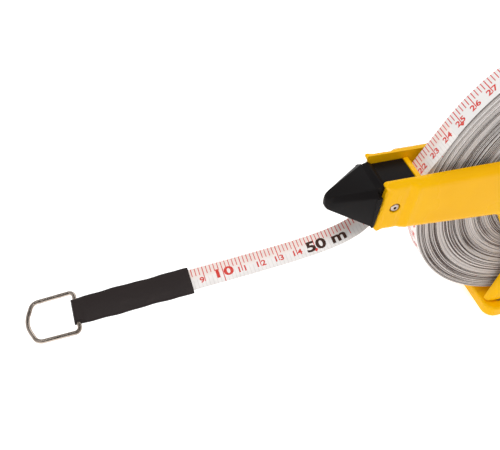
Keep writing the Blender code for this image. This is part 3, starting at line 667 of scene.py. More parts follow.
def turned(profile: Sequence[tuple[float, float]], count: int, centre: tuple[float, float] = (0.0, 0.0)
           ) -> bmesh.types.BMesh:
    """Closed profile of (radius, y) turned about an axis along Y.

    Args:
        profile: the points; radius 0 closes on the axis.
        count: steps round the axis.
        centre: where the axis stands, (x, z) about the reel.

    Returns:
        The solid in the row frame.
    """
    bm = bmesh.new()
    verts = [bm.verts.new((radius, y, 0.0)) for radius, y in profile]
    loop = verts if profile[0][0] <= 0.0 and profile[-1][0] <= 0.0 else verts + verts[:1]
    edges = [bm.edges.new(pair) for pair in zip(loop, loop[1:])]
    bmesh.ops.spin(bm, geom=verts + edges, cent=(0, 0, 0), axis=(0, 1, 0), angle=2 * math.pi,
                   steps=count, use_merge=True)
    bmesh.ops.remove_doubles(bm, verts=bm.verts, dist=1e-7)
    bmesh.ops.recalc_face_normals(bm, faces=bm.faces)
    bmesh.ops.translate(bm, verts=bm.verts, vec=(centre[0], 0.0, centre[1] + HUB.z))
    return bm


def weld(parts: Iterable[bmesh.types.BMesh]) -> bmesh.types.BMesh:
    """Put several solids in one bmesh.

    Args:
        parts: the solids, which are freed.

    Returns:
        The bmesh that holds them all.
    """
    whole = bmesh.new()
    for part in parts:
        mesh = bpy.data.meshes.new("part")
        part.to_mesh(mesh)
        part.free()
        whole.from_mesh(mesh)
        bpy.data.meshes.remove(mesh)
    return whole


def to_handle(distance: float, across: float) -> tuple[float, float]:
    """Point (x, z) at a distance from the reel's axis along the handle, and across it."""
    cosine, sine = math.cos(HANDLE_TILT), math.sin(HANDLE_TILT)
    return (distance * cosine - across * sine, distance * sine + across * cosine)


def smooth_step(value: np.ndarray) -> np.ndarray:
    """0 below 0, 1 above 1 and smooth between."""
    value = np.clip(value, 0.0, 1.0)
    return value * value * (3 - 2 * value)


# ---- side frames ---------------------------------------------------------------------------
@dataclass(frozen=True)
class Loop:
    """A closed edge of a moulded plate and the radius of its rounding."""

    points: np.ndarray
    edge: float

    def distances(self, places: np.ndarray) -> np.ndarray:
        """Measure how far places are from the loop.

        Args:
            places: points (x, z) about the reel.

        Returns:
            One distance for each.
        """
        start, end = self.points, np.roll(self.points, -1, axis=0)
        run = end - start
        best = np.full(len(places), 1e9)
        for a, r in zip(start, run):
            share = np.clip(((places - a) @ r) / max(r @ r, 1e-18), 0.0, 1.0)
            best = np.minimum(best, np.linalg.norm(places - (a + share[:, None] * r), axis=1))
        return best

    def inside(self, places: np.ndarray) -> np.ndarray:
        """Find which places lie within the loop.

        Args:
            places: points (x, z) about the reel.

        Returns:
            True for each place within it.
        """
        start, end = self.points, np.roll(self.points, -1, axis=0)
        within = np.zeros(len(places), bool)
        for (ax, az), (bx, bz) in zip(start, end):
            crosses = (az > places[:, 1]) != (bz > places[:, 1])
            rise = bz - az if abs(bz - az) > 1e-15 else 1e-15
            within ^= crosses & (places[:, 0] < (bx - ax) * (places[:, 1] - az) / rise + ax)
        return within

    def offset(self, distance: float) -> np.ndarray:
        """Move the loop's points to both of its sides.

        Args:
            distance: how far they move.

        Returns:
            The points on one side, then those on the other.
        """
        before, after = np.roll(self.points, 1, axis=0), np.roll(self.points, -1, axis=0)
        run = after - before
        side = np.stack([-run[:, 1], run[:, 0]], axis=1) / np.linalg.norm(run, axis=1)[:, None]
        return np.concatenate([self.points + side * distance, self.points - side * distance])


def loop_of(points: Sequence[Vector], edge: float, longest: float = 3.0 * MM) -> Loop:
    """Make a loop through points, its long sides cut into shorter ones.

    Args:
        points: its corners (x, z) about the reel.
        edge: radius of the rounding along it.
        longest: no side is longer than this.

    Returns:
        The loop.
    """
    fine: list[tuple[float, float]] = []
    for a, b in zip(points, [*points[1:], points[0]]):
        count = max(1, math.ceil((b - a).length / longest))
        fine += [tuple(a.lerp(b, i / count)) for i in range(count)]
    return Loop(np.array(fine), edge)


def nearest(loops: Iterable[Loop], places: np.ndarray) -> np.ndarray:
    """Distance from each place to the nearest of the loops."""
    return np.min([loop.distances(places) for loop in loops], axis=0)


def grid_of(along: tuple[float, float], up: tuple[float, float], steps: tuple[float, float]) -> np.ndarray:
    """Make a regular grid of points.

    Args:
        along: where it starts and ends in x.
        up: where it starts and ends in z.
        steps: its spacing in x and in z.

    Returns:
        The points (x, z).
    """
    columns, rows = np.arange(*along, steps[0]), np.arange(*up, steps[1])
    return np.stack(np.meshgrid(columns, rows), -1).reshape(-1, 2)


@dataclass
class SideFrames:
    """The two moulded frames: nose arm with its thinner tab, foot arm and the handle's two arms."""

    hub_radius: float = 43.0 * MM
    foot_length: float = 57.0 * MM
    foot_top: float = 7.5 * MM
    screw_spacing: float = 120.0 * MM
    arm_width: float = 17.0 * MM
    bar_width: float = 20.0 * MM
    foot_waist: float = -62.0 * MM
    foot_flare: float = 7.5 * MM
    grip_opening_corner: float = 5.5 * MM
    soft_edge: float = 4.6 * MM
    opening_edge: float = 3.0 * MM
    tab_edge: float = 3.4 * MM
    crisp_edge: float = 0.8 * MM
    valley: float = 0.30 * MM
    crest: float = 0.22 * MM
    step_top: float = -99.3 * MM
    step_slant: float = 0.11
    step_width: float = 3.8 * MM
    rim_reaches: tuple[float, ...] = (0.04, 0.16, 0.38, 0.7, 1.1, 1.6, 2.2, 2.9, 3.7, 4.6, 5.6)
    hole_shares: tuple[float, ...] = (0.1, 0.3, 0.6, 1.0)
    face_grid: float = 4.0 * MM
    face_margin: float = 6.0 * MM
    step_grid: tuple[float, float] = (0.7 * MM, 1.2 * MM)
    step_span: tuple[float, float] = (-117.0 * MM, -88.0 * MM)
    step_rise: tuple[float, float] = (-8.0 * MM, 24.0 * MM)
    step_margin: float = 1.2 * MM

    def outline(self) -> list[Vector]:
        """Draw a frame's outer edge.

        Returns:
            Its points (x, z) about the reel.
        """
        foot_half = self.foot_length / 2 - 1.5 * MM
        end = self.screw_spacing / 2 + self.arm_width / 2
        outer, inner = GRIP_DISTANCE + self.bar_width / 2, GRIP_DISTANCE - self.bar_width / 2
        hub, foot = self.hub_radius, self.foot_top - HUB.z + GAP
        return rounded([
            (-NOSE_FRONT + 1.6 * MM, -NOSE_ARM_BOTTOM, 1.8 * MM),
            (-hub * 1.02, -13.0 * MM, 9 * MM),
            (-hub * 0.70, -hub * 0.86, 8 * MM),
            (-foot_half + self.foot_flare, self.foot_waist, 30 * MM),
            (-foot_half, foot, 1.0 * MM),
            (foot_half, foot, 1.0 * MM),
            (foot_half - self.foot_flare, self.foot_waist, 30 * MM),
            (*to_handle(26 * MM, -hub + 2 * MM), 14 * MM),
            (*to_handle(inner - 10 * MM, -end), 14 * MM),
            (*to_handle(outer, -end), 12 * MM),
            (*to_handle(outer, end), 12 * MM),
            (*to_handle(inner - 10 * MM, end), 14 * MM),
            (*to_handle(20 * MM, hub - 1 * MM), 16 * MM),
            (-hub * 0.50, hub * 0.88, 16 * MM),
            (-hub * 1.16, NOSE_ARM_TOP - 0.3 * MM, 14 * MM),
            (-NOSE_FRONT + 1.0 * MM, NOSE_ARM_TOP + 0.5 * MM, 2.4 * MM),
            (-NOSE_FRONT + 3.2 * MM, NOSE_ARM_TOP - 3.7 * MM, 2.4 * MM),
            (-NOSE_FRONT - 0.3 * MM, -NOSE_ARM_BOTTOM + 2.6 * MM, 1.2 * MM),
        ])

    def hand_opening(self) -> list[Vector]:
        """Draw the opening for the hand.

        Returns:
            Its points (x, z) about the reel.
        """
        inner = GRIP_DISTANCE - self.bar_width / 2
        half = self.screw_spacing / 2 - self.arm_width / 2
        root, root_half, root_corner = self.hub_radius + 9 * MM, 13 * MM, 9 * MM
        corner = self.grip_opening_corner
        return rounded([(*to_handle(root, -root_half), root_corner), (*to_handle(inner, -half), corner),
                        (*to_handle(inner, half), corner), (*to_handle(root, root_half), root_corner)])

    def loops(self, side: int) -> list[Loop]:
        """Draw the edges of one frame.

        Args:
            side: -1 for the near frame, with its wide bore for the hub, and 1 for the far one.

        Returns:
            The outer edge and the hand's opening, then the round holes.
        """
        bore, count = (34.0 * MM, 96) if side < 0 else (4.3 * MM, 32)
        rivet_seat, screw_hole = 2.9 * MM, 2.3 * MM
        holes = [loop_of(circle(bore, count), 0.5 * MM),
                 loop_of(circle(rivet_seat, 32, RIVET), 0.45 * MM)]
        for across in (-self.screw_spacing / 2, self.screw_spacing / 2):
            holes.append(loop_of(circle(screw_hole, 24, to_handle(GRIP_DISTANCE, across)), 0.3 * MM))
        opening = loop_of(self.hand_opening(), self.opening_edge)
        return [loop_of(self.outline(), self.soft_edge), opening, *holes]

    def height(self, places: np.ndarray, loops: Sequence[Loop]) -> np.ndarray:
        """Outer face's distance from the middle plane.

        Args:
            places: points (x, z) about the reel.
            loops: the frame's edges.

        Returns:
            The distance at each place.
        """
        apart = [loop.distances(places) for loop in loops]
        step_line = self.step_top + (places[:, 1] - NOSE_ARM_TOP) * self.step_slant
        behind = places[:, 0] - step_line + self.step_width
        rise = smooth_step(behind / self.step_width)
        face = TAB_OUTER + (FRAME_OUTER - TAB_OUTER) * rise
        face -= self.valley * np.exp(-((behind + 0.3 * MM) / (1.3 * MM)) ** 2)
        face += self.crest * np.exp(-((behind - self.step_width) / (1.9 * MM)) ** 2)
        from_front = smooth_step((places[:, 0] + NOSE_FRONT - 0.6 * MM) / (5.0 * MM))
        tab = self.crisp_edge + (self.tab_edge - self.crisp_edge) * from_front
        outer_edge = tab + (self.soft_edge - self.tab_edge) * rise
        for distance, loop in zip(apart, loops):
            edge = outer_edge if loop is loops[0] else loop.edge
            missing = np.clip(1 - distance / edge, 0.0, 1.0)
            face -= edge * (1 - np.sqrt(1 - missing ** 2))
        return face

    def fill(self, places: np.ndarray, loops: Sequence[Loop]) -> tuple[np.ndarray, list, np.ndarray]:
        """Triangles over the frame's face.

        Args:
            places: extra points beside those of the loops.
            loops: the frame's edges.

        Returns:
            The points, the triangles, and where each of the loops' points went.
        """
        own = [loop.points for loop in loops]
        starts = np.cumsum([0, *map(len, own)])
        edges = [(s + i, s + (i + 1) % len(p)) for s, p in zip(starts, own) for i in range(len(p))]
        every = np.concatenate([*own, places])
        made = delaunay_2d_cdt([Vector(p) for p in every], edges, [], 0, 1e-9)
        points = np.array([tuple(p) for p in made[0]])
        corners = np.array(made[2])
        middle = points[corners].mean(axis=1)
        keep = loops[0].inside(middle)
        for loop in loops[1:]:
            keep &= ~loop.inside(middle)
        landed = np.zeros(starts[-1], int)
        for index, sources in enumerate(made[3]):
            for source in sources:
                if source < starts[-1]:
                    landed[source] = index
        return points, [tuple(c) for c in corners[keep]], landed

    def places(self, loops: Sequence[Loop]) -> np.ndarray:
        """Choose points on the face: close together along its rounded rims and across the step.

        Args:
            loops: the frame's edges.

        Returns:
            Points (x, z) about the reel, all of them on the face.
        """
        reaches = [(loop, reach * MM) for reach in self.rim_reaches for loop in loops[:2]]
        reaches += [(loop, share * loop.edge) for share in self.hole_shares for loop in loops[2:]]
        beside = [loop.offset(reach) for loop, reach in reaches]
        wanted = np.concatenate([np.full(len(row), reach) for row, (_, reach) in zip(beside, reaches)])
        rims = np.concatenate(beside)
        low, high = loops[0].points.min(0), loops[0].points.max(0)
        face = grid_of((low[0], high[0]), (low[1], high[1]), (self.face_grid, self.face_grid))
        step = grid_of(self.step_span, self.step_rise, self.step_grid)
        kept = [rims[nearest(loops, rims) > wanted - 0.02 * MM],
                face[nearest(loops, face) > self.face_margin],
                step[nearest(loops, step) > self.step_margin]]
        every = np.concatenate(kept)
        within = loops[0].inside(every)
        for loop in loops[1:]:
            within &= ~loop.inside(every)
        return every[within]

    def mesh(self, side: int) -> bmesh.types.BMesh:
        """Make the closed solid of one frame.

        Args:
            side: -1 for the near frame, 1 for the far one.

        Returns:
            The solid in the row frame.
        """
        loops = self.loops(side)
        points, triangles, landed = self.fill(self.places(loops), loops)
        heights = self.height(points, loops)
        back_points, back_triangles, back_landed = self.fill(np.zeros((0, 2)), loops)

        bm = bmesh.new()
        front = [bm.verts.new((x, side * y, z + HUB.z)) for (x, z), y in zip(points, heights)]
        for corner in triangles:
            bm.faces.new([front[i] for i in corner])
        back = [bm.verts.new((x, side * FRAME_INNER, z + HUB.z)) for x, z in back_points]
        for corner in back_triangles:
            bm.faces.new([back[i] for i in corner])
        start = 0
        for loop in loops:
            count = len(loop.points)
            for i in range(count):
                a, b = start + i, start + (i + 1) % count
                bm.faces.new((front[landed[a]], front[landed[b]], back[back_landed[b]], back[back_landed[a]]))
            start += count
        loose = [vert for vert in bm.verts if not vert.link_faces]
        bmesh.ops.delete(bm, geom=loose, context="VERTS")
        bmesh.ops.recalc_face_normals(bm, faces=bm.faces)
        return bm

    def build(self) -> None:
        """Build and dress both frames."""
        add_piece("near_frame", self.mesh(-1), YELLOW, "frame", "side_frame_near", smooth=40.0)
        add_piece("far_frame", self.mesh(1), YELLOW, "frame", "side_frame_far", smooth=40.0)


# ---- nose ----------------------------------------------------------------------------------
@dataclass
class Nose:
    """Black beak and deck, the yellow bridge behind them, and the hollow rivet."""

    length: float = 23.7 * MM
    ridge: float = 21.2 * MM
    ridge_drop: float = 1.1 * MM
    ridge_from_axis: float = 117.2 * MM
    deck: float = 19.2 * MM
    bridge: float = 95.4 * MM
    bridge_thickness: float = 3.0 * MM
    root: float = -NOSE_FRONT - 0.8 * MM
    low: float = -NOSE_ARM_BOTTOM + 3.6 * MM
    tape_room: float = 1.3 * MM
    rivet_head: float = 2.4 * MM
    rivet_shank: float = 1.3 * MM
    rivet_bore: float = 0.75 * MM

    def tape_height(self, x: float) -> float:
        """Find the height of the tape's middle line in the nose.

        Args:
            x: a place along the nose, about the reel.

        Returns:
            The height about the reel.
        """
        angle = RUN_SLOPE + math.pi / 2
        radius = PACK_RADIUS + GAP + TAPE_THICKNESS / 2
        bend = Vector((math.cos(angle), math.sin(angle))) * radius
        bend -= Vector((math.cos(RUN_SLOPE), math.sin(RUN_SLOPE))) * Lead.run
        return bend.y + (x - bend.x) * math.tan(MOUTH_SLOPE)

    def beak(self) -> bmesh.types.BMesh:
        """Make the wedge with a flat top, slanted shoulders and a blunt tip.

        Returns:
            The solid in the row frame.
        """
        half = TAB_OUTER - 0.05 * MM
        top, shoulder = self.ridge - self.ridge_drop, self.ridge - 4.1 * MM
        tip = -NOSE_FRONT - self.length
        rows = [(self.root, half, HALF_INSIDE, top, shoulder, self.low),
                (tip + 3.2 * MM, 3.5 * MM, 2.7 * MM, 13.5 * MM, 9.8 * MM, 4.1 * MM),
                (tip + 1.2 * MM, 2.5 * MM, 1.9 * MM, 12.2 * MM, 9.6 * MM, 4.9 * MM),
                (tip + 0.2 * MM, 1.2 * MM, 0.9 * MM, 10.9 * MM, 9.2 * MM, 6.2 * MM)]
        sections = []
        for x, wide, flat, top, shoulder, bottom in rows:
            section = ((-wide, bottom), (wide, bottom), (wide, shoulder), (flat, top), (-flat, top),
                       (-wide, shoulder))
            sections.append([Vector((x, y, z + HUB.z)) for y, z in section])
        bm = skin(sections)
        ridges = [e for e in bm.edges if e.calc_face_angle(0.0) > math.radians(12)]
        bmesh.ops.bevel(bm, geom=ridges, offset=0.55 * MM, segments=3, affect="EDGES", profile=0.5,
                        clamp_overlap=True)
        bmesh.ops.recalc_face_normals(bm, faces=bm.faces)
        return bm

    def build(self) -> None:
        """Build and dress the nose."""
        rear = -self.bridge - self.bridge_thickness / 2 - GAP
        root, low, under = self.root, self.low, self.tape_room
        top = self.ridge - self.ridge_drop
        inside = rounded([(rear, self.deck, 0.4 * MM), (rear, self.tape_height(rear) + under, 0.3 * MM),
                          (root + 4 * MM, self.tape_height(root + 4 * MM) + under, 0.3 * MM),
                          (root - 1 * MM, low, 0.0), (root - 1 * MM, top - 0.4 * MM, 0.0),
                          (root, top, 0.2 * MM),
                          (-self.ridge_from_axis, self.ridge, 0.9 * MM),
                          (-self.ridge_from_axis + 2.6 * MM, self.deck, 1.0 * MM)])
        shoulder = self.ridge - 4.6 * MM
        rim = rounded([(root - 1 * MM, shoulder, 0.0), (-NOSE_FRONT + 1.3 * MM, shoulder, 0.4 * MM),
                       (-NOSE_FRONT - 0.6 * MM, low, 0.3 * MM), (root - 1 * MM, low, 0.0)])
        parts = [self.beak(), prism(inside, -HALF_INSIDE, HALF_INSIDE, 0.25 * MM),
                 prism(rim, -TAB_OUTER + 0.02 * MM, TAB_OUTER - 0.02 * MM, 0.2 * MM)]
        add_piece("beak", weld(parts), BLACK, "frame", "nose_block")

        rear, front = -self.bridge + self.bridge_thickness / 2, -self.bridge - self.bridge_thickness / 2
        top = self.deck + 0.3 * MM
        bridge = rounded([(front, self.tape_height(front) + 1.4 * MM, 0.5 * MM),
                          (rear, self.tape_height(rear) + 1.6 * MM, 0.5 * MM), (rear, top, 0.7 * MM),
                          (front, top, 0.5 * MM)])
        bar = prism(bridge, -HALF_INSIDE, HALF_INSIDE, 0.2 * MM)
        add_piece("bridge", bar, YELLOW, "frame", "nose_bridge")
        self.build_rivet()

    def build_rivet(self) -> None:
        """Build the hollow rivet, with a rolled head in the seat of each frame."""
        seat, head, bore = TAB_OUTER - 0.7 * MM, self.rivet_head, self.rivet_bore
        lip = [(head * 0.5 + (head * 0.5 - 0.05 * MM) * math.cos(a), seat + 0.62 * MM * math.sin(a))
               for a in (math.pi * i / 10 for i in range(11))]
        upper = [(r if r > bore else bore, y) for r, y in lip]
        profile = [*upper, (bore * 0.8, seat - 1.2 * MM), (0.0, seat - 1.3 * MM)]
        lower = [(r, -y) for r, y in reversed(profile)]
        shank = [(self.rivet_shank, -seat), (self.rivet_shank, seat)]
        outline = [*lower, *shank, *profile]
        add_piece("rivet", turned(outline, 40, RIVET), NICKEL, "frame", "nose_rivet", smooth=50.0)


# ---- tape ----------------------------------------------------------------------------------
@dataclass
class Station:
    """A place on the tape's middle line with its axes."""

    point: Vector
    outward: Vector
    across: Vector
    up: Vector

    def at(self, across: float, up: float) -> Vector:
        """Point beside the middle line."""
        return self.point + self.across * across + self.up * up


@dataclass(frozen=True)
class Digits:
    """How one kind of centimetre number is printed."""

    size: float
    foot: float
    widened: float
    bold: float
    apart: float


@dataclass
class Lead:
    """The tape from the coil through the nose to the sleeve, with its print.

    A distance along it is counted from where it leaves the coil.  Places before that, with a
    negative distance, lie on the coil's last turn.
    """

    run: float = 29.0 * MM
    mouth: float = 36.5 * MM
    free: float = 96.2 * MM
    in_sleeve: float = 44.0 * MM
    free_slope: float = math.radians(7.0)
    free_twist: float = math.radians(9.3)
    relax: float = 16.8 * MM
    step: float = 62.0 * MM / 24
    sleeve_length: float = 62.0 * MM
    scale_at_coil: float = 244.5 * MM
    title_at: float = 156.5 * MM
    title_widened: float = 1.28
    under_title: tuple[int, ...] = (15, 16, 17)
    mark_pitch: float = 2.0 * MM
    mark_reach: float = 4.8 * MM
    centimetre_reach: float = 9.2 * MM
    ten_reach: float = 12.3 * MM
    diamond: float = 1.15 * MM
    tens: Digits = Digits(7.0 * MM, -3.0 * MM, 1.5, 0.22 * MM, 2.9 * MM)
    ones: Digits = Digits(4.6 * MM, -3.3 * MM, 1.1, 0.12 * MM, 1.595 * MM)
    lift: float = 0.012 * MM
    ink: float = 0.018 * MM
    stations: list[Station] = field(init=False)

    def __post_init__(self) -> None:
        """Lay the route once, for everything that follows the tape."""
        self.stations = self.route()

    def route(self) -> list[Station]:
        """Follow the tape from the coil to the ring.

        Returns:
            Its stations, one step apart.
        """
        angle = RUN_SLOPE + math.pi / 2
        point = HUB + Vector((math.cos(angle), 0.0, math.sin(angle))) * LAST_TURN
        count = round((self.run + self.mouth + self.free + self.sleeve_length) / self.step)
        stations = []
        for index in range(count + 1):
            along = index * self.step
            outside = max(0.0, along - self.run - self.mouth)
            turned_in = min(1.0, max(0.0, (along - self.run) / (2 * self.step)))
            slope = RUN_SLOPE + (MOUTH_SLOPE - RUN_SLOPE) * turned_in
            left = math.exp(-outside / self.relax)
            if outside > 0.0:
                slope = self.free_slope + (MOUTH_SLOPE - self.free_slope) * left
            twist = self.free_twist * (1.0 - left)
            across = Vector((0.0, math.cos(twist), math.sin(twist)))
            lift = Vector((0.0, -math.sin(twist), math.cos(twist)))
            outward = -(math.cos(slope) * Vector((1.0, 0.0, 0.0)) + math.sin(slope) * lift)
            stations.append(Station(point.copy(), outward, across, across.cross(outward)))
            point += outward * self.step
        return stations

    def station(self, along: float) -> Station:
        """Find the station at any distance along the tape.

        Args:
            along: the distance; a negative one lies on the coil's last turn.

        Returns:
            The station.
        """
        if along < 0.0:
            back = -along / LAST_TURN
            radius = LAST_TURN - Coil.pitch() * back / (2 * math.pi)
            angle = RUN_SLOPE + math.pi / 2 - back
            out = Vector((math.cos(angle), 0.0, math.sin(angle)))
            outward = Vector((-math.sin(angle), 0.0, math.cos(angle)))
            across = Vector((0.0, 1.0, 0.0))
            return Station(HUB + out * radius, outward, across, across.cross(outward))
        share = along / self.step
        low = min(int(share), len(self.stations) - 2)
        share -= low
        a, b = self.stations[low], self.stations[low + 1]
        bent = [getattr(a, k).lerp(getattr(b, k), share).normalized() for k in ("outward", "across", "up")]
        return Station(a.point.lerp(b.point, share), *bent)

    def strip(self) -> bpy.types.Object:
        """Build the tape itself, with rounded edges and the distances along and across it as UV.

        Returns:
            The piece.
        """
        half, thick, corner = TAPE_WIDTH / 2, TAPE_THICKNESS / 2, 0.12 * MM
        section = [(-half + corner, -thick), (0.0, -thick), (half - corner, -thick), (half, -thick + corner),
                   (half, thick - corner), (half - corner, thick), (0.0, thick), (-half + corner, thick),
                   (-half, thick - corner), (-half, -thick + corner)]
        length, steps = self.run + self.mouth + self.free + self.in_sleeve, 230
        places = [length * i / steps for i in range(steps + 1)]
        sections = [[self.station(p).at(a, u) for a, u in section] for p in places]
        bm = skin(sections)
        bm.verts.ensure_lookup_table()
        layout = bm.loops.layers.uv.new("tape")
        where = {i: (places[i // len(section)], section[i % len(section)][0]) for i in range(len(bm.verts))}
        for face in bm.faces:
            for corner_loop in face.loops:
                corner_loop[layout].uv = where[corner_loop.vert.index]
        return add_piece("tape", bm, TAPE, "frame", "tape_lead", smooth=50.0)

    def lay(self, bm: bmesh.types.BMesh, to_scale: ToScale) -> None:
        """Move flat print onto the tape.

        Args:
            bm: the print.
            to_scale: gives the scale reading, the place across and the height of a point.
        """
        for vert in bm.verts:
            reading, across, up = to_scale(vert.co)
            station = self.station(self.scale_at_coil - reading)
            vert.co = station.at(across, TAPE_THICKNESS / 2 + self.lift + up)

    def marks(self, low: float, high: float, name: str, body: str) -> None:
        """Scale marks between two readings, each a thin bar laid on the tape by geometry nodes.

        Args:
            low: first reading in metres.
            high: last reading.
            name: the piece's name.
            body: the body it rides on.
        """
        pitch, edge = self.mark_pitch, TAPE_WIDTH / 2 - 0.1 * MM
        marks = PrintedMarks([], [], [], [])
        for index in range(math.ceil(low / pitch), math.floor(high / pitch) + 1):
            centimetre, ten = index % 5 == 0, index % 50 == 0
            reach = self.ten_reach if ten else self.centimetre_reach if centimetre else self.mark_reach
            station = self.station(self.scale_at_coil - index * pitch)
            marks.points.append(station.at(edge - reach / 2, TAPE_THICKNESS / 2 + self.lift + self.ink / 2))
            marks.along.append(station.outward)
            marks.across.append(station.across)
            marks.sizes.append((0.46 * MM if centimetre else 0.42 * MM, reach, self.ink))
        marks.build(name, RED_INK, body)

    def letters(self, text: str, size: float, bold: float, to_scale: ToScale,
                cut: float = 0.0) -> bmesh.types.BMesh:
        """Plain lettering as a thin solid laid on the tape.

        Args:
            text: what it says.
            size: the font's size.
            bold: how much each stroke is thickened.
            to_scale: gives the scale reading, the place across and the height of a point.
            cut: distance between cuts across long strokes, so that they bend with the tape.

        Returns:
            The letters in the row frame.
        """
        curve = bpy.data.curves.new("lettering", "FONT")
        curve.body, curve.size, curve.offset = text, size, bold
        curve.extrude, curve.resolution_u = self.ink / 2, 3
        curve.align_x, curve.align_y = "CENTER", "BOTTOM_BASELINE"
        letter = bpy.data.objects.new("lettering", curve)
        bpy.context.scene.collection.objects.link(letter)
        bpy.context.view_layer.update()
        mesh = bpy.data.meshes.new_from_object(letter.evaluated_get(bpy.context.evaluated_depsgraph_get()))
        bpy.data.objects.remove(letter)
        bpy.data.curves.remove(curve)
        bm = bmesh.new()
        bm.from_mesh(mesh)
        bpy.data.meshes.remove(mesh)
        bmesh.ops.remove_doubles(bm, verts=bm.verts, dist=1e-7)
        if cut > 0.0:
            low = min(v.co.x for v in bm.verts)
            high = max(v.co.x for v in bm.verts)
            for index in range(1, math.ceil((high - low) / cut)):
                bmesh.ops.bisect_plane(bm, geom=[*bm.verts, *bm.edges, *bm.faces], dist=1e-8,
                                       plane_co=(low + index * cut, 0, 0), plane_no=(1, 0, 0))
        self.lay(bm, to_scale)
        return bm

    def numbers(self, low: int, high: int, name: str, body: str) -> None:
        """Centimetre numbers, split by their mark: the tens before it and the ones after it.

        Args:
            low: first number.
            high: last number.
            name: the piece's name.
            body: the body it rides on.
        """
        parts = []
        for number in range(low, high + 1):
            if number in self.under_title:
                continue
            kind = self.tens if number % 10 == 0 else self.ones
            for digit, side in zip(str(number), (-1, 1)):
                middle = number * 10 * MM + side * kind.apart

                def to_scale(co: Vector, middle: float = middle, kind: Digits = kind) -> tuple[float, ...]:
                    """Reading, place across and height of a point of the digit."""
                    return middle + co.x * kind.widened, kind.foot + co.y, co.z + self.ink / 2

                parts.append(self.letters(digit, kind.size, kind.bold, to_scale))
        add_piece(name, weld(parts), RED_INK, body, smooth=30.0)

    def diamonds(self, low: float, high: float, name: str, body: str) -> None:
        """Filled diamonds at the half decimetres.

        Args:
            low: first reading in metres.
            high: last reading.
            name: the piece's name.
            body: the body it rides on.
        """
        parts, pitch, half, tall = [], 0.05, self.diamond, self.diamond * 1.2
        for index in range(math.ceil(low / pitch), math.floor(high / pitch) + 1):
            if index % 2 == 0:
                continue
            bm = bmesh.new()
            corners = ((half, 0, 0), (0, tall, 0), (-half, 0, 0), (0, -tall, 0))
            face = bm.faces.new([bm.verts.new(corner) for corner in corners])
            raised = bmesh.ops.extrude_face_region(bm, geom=[face])["geom"]
            bmesh.ops.translate(bm, verts=[v for v in raised if isinstance(v, bmesh.types.BMVert)],
                                vec=(0, 0, self.ink))
            bmesh.ops.recalc_face_normals(bm, faces=bm.faces)
            reading = index * pitch
            self.lay(bm, lambda co, reading=reading: (reading + co.x, -3.6 * MM + co.y, co.z))
            parts.append(bm)
        add_piece(name, weld(parts), RED_INK, body, smooth=30.0)

    def build(self) -> None:
        """Build the tape and its print."""
        self.strip()
        start = self.scale_at_coil - (self.run + self.mouth + self.free)
        end = self.scale_at_coil
        self.marks(start + 0.3 * MM, end, "tape_marks", "frame")
        self.numbers(9, 24, "tape_numbers", "frame")
        self.diamonds(start, end, "tape_diamonds", "frame")
        once_round = end + 2 * math.pi * PACK_RADIUS
        self.marks(end + 0.5 * MM, once_round - 6 * MM, "coil_marks", "reel")
        self.numbers(25, int(once_round * 100) - 1, "coil_numbers", "reel")
        self.diamonds(end, once_round - 6 * MM, "coil_diamonds", "reel")
        title = self.letters("50 m", 8.6 * MM, 0.28 * MM, lambda co: (
            self.title_at + co.x * self.title_widened, -3.9 * MM + co.y, co.z + self.ink * 1.6), 0.8 * MM)
        add_piece("tape_length", title, BROWN_INK, "frame", smooth=30.0)


@dataclass
class PrintedMarks:
    """Thin bars, one on each point, made by geometry nodes."""

    points: list[Vector]
    along: list[Vector]
    across: list[Vector]
    sizes: list[tuple[float, float, float]]

    def tree(self, material: bpy.types.Material) -> bpy.types.GeometryNodeTree:
        """Make the node tree that sets a bar of each point's own size along its own axes.

        Args:
            material: what the bars are made of.

        Returns:
            The tree.
        """
        tree = bpy.data.node_groups.new("printed_marks", "GeometryNodeTree")
        face = tree.interface
        face.new_socket("Geometry", in_out="INPUT", socket_type="NodeSocketGeometry")
        face.new_socket("Ink Scale", in_out="INPUT", socket_type="NodeSocketFloat").default_value = 1.0
        face.new_socket("Geometry", in_out="OUTPUT", socket_type="NodeSocketGeometry")
        graph = Graph(tree)
        enter = graph.add("NodeGroupInput")
        kind = {"data_type": "FLOAT_VECTOR"}
        lengthwise, widthwise, extent = (
            graph.add("GeometryNodeInputNamedAttribute", kind, {"Name": name}).outputs[0]
            for name in ("lengthwise", "widthwise", "bar"))
        turn = graph.add("FunctionNodeAxesToRotation", {"primary_axis": "X", "secondary_axis": "Y"},
                         {0: lengthwise, 1: widthwise})
        size = graph.add("ShaderNodeVectorMath", {"operation": "SCALE"},
                         {0: extent, "Scale": enter.outputs["Ink Scale"]})
        bar = graph.add("GeometryNodeMeshCube", None, {"Size": (1.0, 1.0, 1.0)})
        set_out = graph.add("GeometryNodeInstanceOnPoints", None, {
            "Points": enter.outputs["Geometry"], "Instance": bar.outputs["Mesh"],
            "Rotation": turn.outputs[0], "Scale": size.outputs[0]})
        real = graph.add("GeometryNodeRealizeInstances", None, {0: set_out.outputs[0]})
        inked = graph.add("GeometryNodeSetMaterial", None,
                          {"Geometry": real.outputs[0], "Material": material})
        graph.add("NodeGroupOutput", None, {0: inked.outputs[0]})
        return tree

    def build(self, name: str, finish: Finish, body: str) -> bpy.types.Object:
        """Make the bars one plain mesh on a body.

        Args:
            name: the piece's name.
            finish: its finish.
            body: the body it rides on.

        Returns:
            The piece.
        """
        mesh = bpy.data.meshes.new(name)
        mesh.from_pydata([tuple(p) for p in self.points], [], [])
        for label, values in (("lengthwise", self.along), ("widthwise", self.across), ("bar", self.sizes)):
            attribute = mesh.attributes.new(label, "FLOAT_VECTOR", "POINT")
            attribute.data.foreach_set("vector", np.array([tuple(v) for v in values], float).ravel())
        return grow(name, mesh, self.tree(finish.material()), {"Ink Scale": 1.0}, finish, body)


